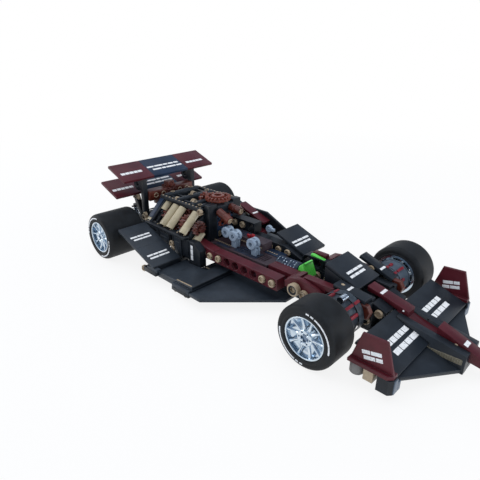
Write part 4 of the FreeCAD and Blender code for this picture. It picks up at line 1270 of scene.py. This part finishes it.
def drumShell(side, radius):
    # a narrower drum with an annular web
    profile = [(2.6, 5.0), (8.6, 5.0), (8.6, 0), (radius - 0.2, 0), (radius, 0.2), (radius, 11.3), (radius - 0.2, 11.5),
               (8.6, 11.5), (8.6, 6.4), (2.6, 6.4)]
    return aimed([lathe(profile, 56)], (0, side, 0), kingpin["x"], side * 25.6, kingpin["z"])


def drumLips(side, radius):
    # the two lips turned on the drum
    shapes = []
    for offset, r, w in ((0.95, radius + 0.4, 0.9), (-9.6, radius + 0.2, 0.8)):
        profile = [(radius - 0.1, 0), (r - 0.1, 0), (r, 0.1), (r, w - 0.1), (r - 0.1, w), (radius - 0.1, w)]
        y = side * (kingpin["y"] + offset)
        shapes += aimed([lathe(profile, 56)], (0, -side, 0), kingpin["x"], y, kingpin["z"])
    return shapes


def drumSpring(side, angle):
    # a short coil unit lying on the drum, and the rod through it
    place = hubFrame(angle) @ facing((0, side, 0), 0, side * 26.6, 13.0)
    rod = moved([lathe(band(0, 0.9, 0, 6.0), 16, False), lathe(band(0.9, 1.9, 5.6, 6.1), 20)], place)
    return [placed(coil(1.5, 0.38, 5.5, 5.2), place @ at(0, 0, 0.3))], rod


def barsRound(side, bars, seat):
    # narrow bars along Y, from their seat on the drum or cowl outward
    return [placed(brick((-0.85, 0.85), sorted((side * inner, side * outer)), seat, 0.3), hubFrame(angle))
            for angle, inner, outer in bars]


for name, hub in hubs.items():
    side, body, finish = hub["side"], "knuckle_" + name, hub["finish"]
    # the cowl is a fixed guard inboard of the drum; the wishbones pass through it
    cowl = aimed([lathe(hub["cowl"], 56)], (0, -side, 0), kingpin["x"], side * 25.9, kingpin["z"])
    if name == "left":
        addPiece("drumShell_" + name, drumShell(side, hub["radius"]), finish, ["drum_" + name], body)
    addPiece("drumLips_" + name, drumLips(side, hub["radius"]), finish, body=body)
    addPiece("hubCowl_" + name, cowl, finish)
    if hub["spring"]:
        spring, rod = drumSpring(side, hub["spring"])
        addPiece("drumSpring_" + name, spring, "springSteel", body=body, smooth=60)
        addPiece("springRod_" + name, rod, "blackAbs", body=body)
    drumBars = barsRound(side, hub["drumBars"], hub["drumSeat"])
    addPiece("drumBars_" + name, drumBars, "wineRedAbs", ["drum_bars_" + name], body)
    addPiece("cowlBars_" + name, barsRound(side, hub["cowlBars"], hub["cowlSeat"]), "wineRedAbs")

# brown connectors between the towers and the arms, pins along the nose walls and channels, and white pegs
link = fromFront([(7.6, 16.0), (13.6, 17.4), (15.0, 21.6), (12.8, 25.4), (7.6, 25.4)])
stub = lathe([(0, -0.2), (1.0, -0.2), (1.0, 0.3), (0.8, 0.5), (0, 0.5)], 12, False)
small = aimed(pinEnd(2.0, 0.9), toRight, front(-5.5), -15.9, 28.0)
small += aimed(pinEnd(2.4, 1.2), toRight, front(11.0), -16.0, 14.0) + aimed([stub], toRight, front(54.0), -3.9, 14.0)
peg = lathe([(0, -0.3), (0.5, -0.3), (0.5, 0.15), (0.35, 0.3), (0, 0.32)], 12, False)
pegs = aimed([peg], toRight, front(25.6), -4.3, 21.2) + aimed([peg], toRight, front(36.2), -4.3, 16.9)
addPiece("armLinks", bothSides([sideShape(link, (-20.6, -17.2), [], 0.5)]), "darkBrownAndPaintedShadeAbs")
addPiece("nosePins", bothSides(small), "tanAbs")
addPiece("nosePegs", bothSides(pegs), "whiteInk")


channels = {
    "groove": ((36.6, 12.3), (36.8, 12.0), (43.0, 7.6), (59.0, 7.6), (59.6, 8.0), (59.6, 10.4), (59.0, 10.8),
               (43.0, 10.0)),
    "ribs": 14,
    "pitch": 1.15,
    # paler caps on the front ends of the channels and on the sides of the end weights: painted light on the faces that
    # meet the light from the nose
    "caps": (((60.3, 60.85), (-8.6, -4.6), (3.4, 12.4)), ((43.5, 44.1), (-47.9, -44.4), (4.4, 11.9)),
             ((43.5, 44.1), (-44.5, -41.3), (4.4, 9.4))),
}


def channelGrooves():
    # the open groove in the side of each front channel, tapering to nothing at its rear end
    shapes = [sideShape(fromFront(channels["groove"]), (-9.3, -8.85), [], 0.1)]
    for i in range(channels["ribs"]):
        x = front(43.4 + channels["pitch"] * i)
        shapes.append(brick((x, x + 0.4), (-9.5, -9.1), (7.9, 10.1), 0.08))
    return bothSides(shapes)


addPiece("channelGrooves", channelGrooves(), "grooveAbs")
# the paler caps are painted light on the front ends of the channels and end weights
addPiece("channelEndsPaintedLight", bothSides(alongCar(channels["caps"], 0.15, front)), "paintedLightCapGreyAbs")

endPlate = {
    "panel": ((21, 14.3), (43, 14.3), (38, 30.4), (25.5, 29.6)),
    # the plate it stands on, whose outer front corner is cut, and the two steps of the weight under it
    "foot": ((20.5, -50.2), (41.0, -50.2), (43.1, -47.8), (43.1, -44.1), (20.5, -44.1)),
    "block": ((36.2, -49.9), (42.0, -49.9), (43.6, -48.1), (43.6, -44.2), (36.2, -44.2)),
    "step": ((36.2, -44.5), (43.6, -44.5), (43.6, -41.2), (36.2, -41.2)),
    "roller": ((0, 6.2), (2.9, 6.2), (3.2, 6.4), (3.6, 6.9), (3.6, 11.6), (3.3, 12.1), (3.3, 12.3), (0, 12.3)),
    "tanBlock": ((29.2, 34.3), (-49.9, -44.2), (6.3, 12.3)),
}
plates = [sideShape(fromFront(endPlate["panel"]), (-48.0, -46.4), [], 0.3),
          punched(fromFront(endPlate["foot"]), [], 12.2, 14.4, 0.3)]
weights = [punched(fromFront(endPlate[name]), [], 4.0, top, 0.25) for name, top in (("block", 12.3), ("step", 9.6))]
roller = placed(lathe(endPlate["roller"], 32, False), at(front(24.6), -46.9, 0))
addPiece("endPlates", bothSides(plates), "darkRedAbs", ["front_endplates"])
addPiece("endWeights", bothSides(weights), "blackAbs", ["endplate_weights"], slot="drum_plastic")
addPiece("endRollers", bothSides([roller]), "rollerGreyAbs", ["endplate_rollers"])
addPiece("endBlocks", bothSides(alongCar([endPlate["tanBlock"]], 0.3, front)), "tanAbs", ["endplate_blocks"])
print("nose ready")


gearbox = {
    "back": rear(-11.2),
    "side": 15.8,
    "backRibs": (12.0, 15.4),  # heights
    "eyes": (-12.0, -4.0, 4.0, 12.0),  # sides of the pin holes along its back
    "screws": (45, 135, 225, 315),  # degrees round each axle boss
    "topRibs": (-7.6, -3.4, 1.0, 5.2),  # stations
    # radius, height and direction of each kind of pin end, and their places
    "pins": ((2.3, 1.1, toTail, ((-11.2, -12.0, 14.0), (-11.2, 12.0, 14.0))),
             (2.2, 0.8, toTop, ((-2.6, -10.0, 26.0), (-2.6, 10.0, 26.0)))),
}


def gearboxRibs():
    # ribs, axle bosses with their screws, and a row of pin holes on the gearbox
    back = gearbox["back"]
    shapes = [brick((back - 0.5, back + 0.2), (-15.0, 15.0), (z, z + 1.2), 0.2) for z in gearbox["backRibs"]]
    eye = lathe([(1.6, 0), (3.1, 0), (3.1, 0.6), (2.7, 0.9), (1.9, 0.9), (1.6, 0.6)], 24)
    boss = lathe([(2.5, 0), (5.2, 0), (5.2, 1.4), (4.6, 1.9), (2.5, 1.9)], 32)
    screw = lathe([(0, 0), (0.9, 0), (0.9, 0.7), (0.6, 0.9), (0, 0.9)], 12, False)
    for y in gearbox["eyes"]:
        shapes += aimed([eye], toTail, back + 0.1, y, 14.0)
    for side in (-1, 1):
        outward, y = (0, side, 0), side * gearbox["side"]
        shapes += aimed([boss], outward, rear(0), y, rearAxle.z)
        for a in (math.radians(angle) for angle in gearbox["screws"]):
            shapes += aimed([screw], outward, rear(6.6 * math.cos(a)), y, rearAxle.z + 4.6 * math.sin(a))
    return shapes + alongCar([((x, x + 1.0), (-15.2, 15.2), (25.7, 26.5)) for x in gearbox["topRibs"]], 0.2)


def gearboxPins():
    shapes = []
    for radius, height, direction, spots in gearbox["pins"]:
        shapes += spread(pinEnd(radius, height), direction, spots)
    for side in (-1, 1):
        outward, y = (0, side, 0), side * 26.0
        shapes += aimed(pinEnd(2.5, 1.4), outward, rear(3.4), y, 25.4)
        shapes += aimed(pinEnd(2.1, 1.0), outward, rear(-3.0), y, 40.7)
        shapes += aimed(pinEnd(2.0, 0.9), toNose, rear(8.6), side * 27.2, 24.0)
    return shapes


addPiece("gearboxRibs", gearboxRibs(), "blackAbs")
addPiece("gearboxPins", gearboxPins(), "tanAbs")

dampers = {
    "top": (-12.0, 30.6),  # station and height
    "low": (-9.0, 20.4),
    "y": 24.6,
    "coil": (2.3, 0.4, 6),  # radius, wire radius and turns
    "rod": 1.3,
    "seat": 2.9,
}


def rearDampers():
    # small coil units behind the wing posts
    coils, rods = [], []
    inner, outer = dampers["rod"], dampers["seat"]
    for side in (-1, 1):
        top, low = (Vector((rear(dampers[end][0]), side * dampers["y"], dampers[end][1])) for end in ("top", "low"))
        along = low - top
        length, place = along.length, facing(along, *top)
        coils.append(placed(coil(*dampers["coil"], length - 2), place @ at(0, 0, 1)))
        rods += moved([lathe(band(0, inner, -1.0, length + 1.0), 14, False), lathe(band(inner, outer, -0.6, 0.6), 18),
                       lathe(band(inner, outer, length - 0.6, length + 0.6), 18)], place)
        rods.append(brick((rear(-13.6), rear(-4.4)), sorted((side * 22.6, side * 25.4)), (30.2, 32.6), 0.4))
    return coils, rods


coils, rods = rearDampers()
addPiece("rearSprings", coils, "springSteel", smooth=60)
addPiece("rearDampers", rods, "blackAbs")


struts = {"top": (rear(19.6), -17.9, 44.0), "low": (rear(19.0), -33.6, 27.6), "foot": 4.0}


def bankStruts():
    # sloping navy struts behind the banks, with a gold foot
    top, along = Vector(struts["top"]), Vector(struts["low"]) - Vector(struts["top"])
    length, ankle = along.length, along.length - struts["foot"]
    outward = Vector((0, along.z, -along.y)).normalized() * -1
    place = at(*top) @ Matrix((toNose, outward, along.normalized())).transposed().to_4x4()
    plate = brick((-2.0, 2.6), (-0.4, 0.9), (0.4, ankle), 0.3)
    foot = brick((-1.9, 2.5), (-0.3, 1.2), (ankle, length - 0.4), 0.3)
    return bothSides([placed(plate, place)]), bothSides([placed(foot, place)])


plates, feet = bankStruts()
addPiece("bankStruts", plates, "navyAbs")
addPiece("bankStrutFeet", feet, "goldAbs")

pods = {
    # from and to along the car, top and bottom of the stepped blocks under the low rails
    "steps": ((24.0, 34.0, 25.6, 14.0), (35.0, 46.5, 24.8, 12.0), (53.2, 61.0, 25.4, 9.4)),
    # station, side, height, radius and length of each pin end
    "pins": ((49.6, -33.9, 18.6, 2.3, 1.1), (51.2, -34.2, 15.0, 2.0, 1.1), (29.9, -34.9, 21.1, 1.2, 1.1),
             (49.6, -58.6, 7.2, 2.3, 1.4)),
}


def podSteps():
    # each block, and the raised field on it
    shapes = []
    for x0, x1, top, low in pods["steps"]:
        shapes.append(brick((rear(x0), rear(x1)), (-34.5, -33.5), (low, top), 0.4))
        shapes.append(brick((rear(x0 + 1.5), rear(x1 - 1.5)), (-34.9, -34.3), (low + 3.0, top - 3.0), 0.3))
    return bothSides(shapes)


ends = [s for x, y, z, radius, height in pods["pins"] for s in aimed(pinEnd(radius, height), toRight, rear(x), y, z)]
addPiece("podSteps", podSteps(), "darkGreyAbs")
addPiece("podPins", bothSides(ends), "tanAbs")


engineLead = {
    # length, side and height of each cross axle, then the limits across of the plates that carry them
    "axles": ((18.4, -9.2, 28.6), (14.0, -6.0, 35.8)),
    "plates": ((-7.6, -5.6), (5.2, 7.6)),
    "gear": (12, 4.6, 3.6),
    "bushes": (-4.4, 2.4),
    # radius, height, side and place above the floor of each pin end
    "pins": ((2.3, 1.2, -2.4, 22.6), (1.9, 0.9, 2.6, 24.4)),
}


def engineFront():
    # what ends ahead of the engine block: cross axles and their plates, a gear with its bushes, and two pins
    x = bankEnd + 2.4
    axles = [s for length, y, z in engineLead["axles"] for s in aimed([crossAxle(length)], toLeft, x, y, z)]
    axles += [brick((bankEnd + 0.1, bankEnd + 3.4), y, (18.2, 38.6), 0.4) for y in engineLead["plates"]]
    gears = aimed(gear(*engineLead["gear"]), toNose, bankEnd + 0.2, -1.4, 31.4)
    gears += [s for y in engineLead["bushes"] for s in aimed(bush(2.9, 2.6), toLeft, x, y, 35.8)]
    ends = []
    for radius, height, y, z in engineLead["pins"]:
        ends += aimed(pinEnd(radius, height), toNose, bankEnd + 0.4, y, z)
    return axles, gears, ends


axles, gears, ends = engineFront()
addPiece("engineFrontAxles", axles, "navyAbs")
addPiece("engineFrontGears", gears, "brownAbs")
addPiece("engineFrontPins", ends, "tanAbs")

# a pale forked link beside the left wall
eye = lathe([(1.3, 0), (2.4, 0), (2.6, 0.3), (2.6, 2.2), (2.4, 2.5), (1.3, 2.5)], 20)
fork = alongCar([((101.2, 105.6), (15.0, 17.0), (29.4, 31.6))], 0.4)
addPiece("leftLink", aimed([eye], toRight, rear(100.6), 17.4, 30.6) + fork, "paleBlueAbs")

floorParts = {
    "ribs": (72.0, 84.0, 96.0, 108.0, 120.0, 132.0),
    "sideRibs": ((86.0, 54.0), (104.0, 46.0), (122.0, 33.0)),  # station and reach
    "pins": (10.0, 34.0, 58.0, 78.0, 102.0, 126.0, 150.0, 174.0),
}


def underside():
    # ribs under the floor, the tub's cross ribs, and the pins that hold them
    ribs = alongCar([((x, x + 1.6), (-14.8, 14.8), (7.5, 8.2)) for x in floorParts["ribs"]], 0.2)
    for x, reach in floorParts["sideRibs"]:
        ribs += bothSides(alongCar([((x, x + 1.4), (-reach, -17.0), (5.5, 6.1))], 0.2))
    return ribs, spread(pinEnd(2.3, 0.7), (0, 0, -1), [(x, y, 8.2) for x in floorParts["pins"] for y in (-8.0, 8.0)])


ribs, ends = underside()
addPiece("floorRibs", ribs, "darkGreyAbs")
addPiece("floorPins", ends, "tanAbs")
print("rear and underside ready")


view = {
    "lens": 32.08,  # mm on a 36 mm wide sensor
    "place": (174.15, -203.8, 146.6),
    "heading": 134.65,  # degrees from the nose direction towards the left
    "dip": 23.468,
    "roll": 0.18,
}


def addCamera():
    data = bpy.data.cameras.new("camera")
    data.sensor_width = 36
    data.lens = view["lens"]
    data.clip_start = 0.01
    data.clip_end = 20
    camera = bpy.data.objects.new("camera", data)
    scene.collection.objects.link(camera)
    heading, dip = math.radians(view["heading"]), math.radians(view["dip"])
    ahead = Vector((math.cos(heading) * math.cos(dip), math.sin(heading) * math.cos(dip), -math.sin(dip)))
    right = ahead.cross(toTop).normalized()
    turn = Matrix((right, right.cross(ahead), -ahead)).transposed().to_4x4()
    camera.matrix_world = at(*(Vector(view["place"]) * mm)) @ turn @ turned(view["roll"], "Z")
    scene.camera = camera


lamps = {
    # name: (place, target, width and height in metres, watts, colour)
    "overheadSoftbox": ((-0.25, 0.0, 1.4), (0, 0, 0), (1.6, 1.6), 8.0, "#ffffff"),
    "rearSoftbox": ((-0.9, -0.5, 0.5), (0, 0, 0.03), (0.5, 0.5), 2.6, "#f6f9ff"),
    "noseSoftbox": ((1.1, 0.35, 0.22), (0.02, 0, 0.02), (0.5, 0.3), 3.2, "#eef4ff"),
}


def addLamps():
    for name, (place, target, size, watts, colour) in lamps.items():
        data = bpy.data.lights.new(name, "AREA")
        data.shape = "RECTANGLE"
        data.size, data.size_y = size
        data.energy = watts
        data.color = toLinear(colour)[:3]
        lamp = bpy.data.objects.new(name, data)
        lamp.location = place
        lamp.rotation_euler = (Vector(target) - Vector(place)).to_track_quat("-Z", "Y").to_euler()
        scene.collection.objects.link(lamp)


room = {
    "walls": "#ffffff",  # what reflections find up to just above the horizon
    "ceiling": "#8d9cb2",
    "light": "#c6ccd6",  # the even light from all round
    "floor": "#f4f5f6",
    "fade": (0.2, 0.7),  # metres from the car between which the floor turns white
}


def addRoom():
    # white to the eye; reflections find white walls and a dimmer bluish ceiling
    world = bpy.data.worlds.new("room")
    scene.world = world
    world.use_nodes = True
    tree = world.node_tree
    path = addNode(tree, "LightPath")
    seen = addNode(tree, "Math", {"operation": "MAXIMUM"},
                   {0: path.outputs["Is Camera Ray"], 1: path.outputs["Is Transmission Ray"]})
    aim = addNode(tree, "SeparateXYZ", {}, {"Vector": addNode(tree, "TexCoord").outputs["Generated"]})
    walls = addNode(tree, "ValToRGB", {"stops": ((0.16, room["walls"]), (0.42, room["ceiling"]))},
                    {"Fac": aim.outputs["Z"]})
    reflected = addNode(tree, "Mix", {"data_type": "RGBA", 6: toLinear(room["light"])},
                        {0: path.outputs["Is Glossy Ray"], 7: walls.outputs["Color"]})
    backdrop = addNode(tree, "Mix", {"data_type": "RGBA", 7: (1, 1, 1, 1)},
                       {0: seen.outputs[0], 6: reflected.outputs[2]})
    setNode(tree, tree.nodes["Background"], {"Strength": 1.0}, {"Color": backdrop.outputs[2]})


def addFloor():
    # a pale floor that keeps a soft shadow and fades into the white room away from the car
    mesh = bpy.data.meshes.new("floor")
    mesh.from_pydata([(-4, -4, 0), (4, -4, 0), (4, 4, 0), (-4, 4, 0)], [], [(0, 1, 2, 3)])
    material, tree, shader, place = newMaterial("paleFloor")
    setNode(tree, shader, {"Base Color": toLinear(room["floor"]), "Roughness": 0.7})
    path = addNode(tree, "LightPath")
    glow = addNode(tree, "Emission", {"Strength": 1.0})
    seen = addNode(tree, "Math", {"operation": "MAXIMUM"},
                   {0: path.outputs["Is Camera Ray"], 1: path.outputs["Is Glossy Ray"]})
    reach = addNode(tree, "VectorMath", {"operation": "LENGTH"}, {0: place})
    near, far = room["fade"]
    fade = addNode(tree, "MapRange", {"From Min": near, "From Max": far, "To Min": 0.86, "To Max": 1.0},
                   {"Value": reach.outputs["Value"]})
    share = addNode(tree, "Math", {"operation": "MULTIPLY"}, {0: seen.outputs[0], 1: fade.outputs["Result"]})
    blend = addNode(tree, "MixShader", {}, {0: share.outputs[0], 1: shader.outputs[0], 2: glow.outputs[0]})
    setNode(tree, tree.nodes["Material Output"], {}, {"Surface": blend.outputs[0]})
    mesh.materials.append(material)
    ground = bpy.data.objects.new("floor", mesh)
    scene.collection.objects.link(ground)
    ground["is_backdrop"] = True


addCamera()
addLamps()
addRoom()
addFloor()
scene.view_settings.view_transform = "Standard"
print("camera, light and floor ready")

low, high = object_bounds()
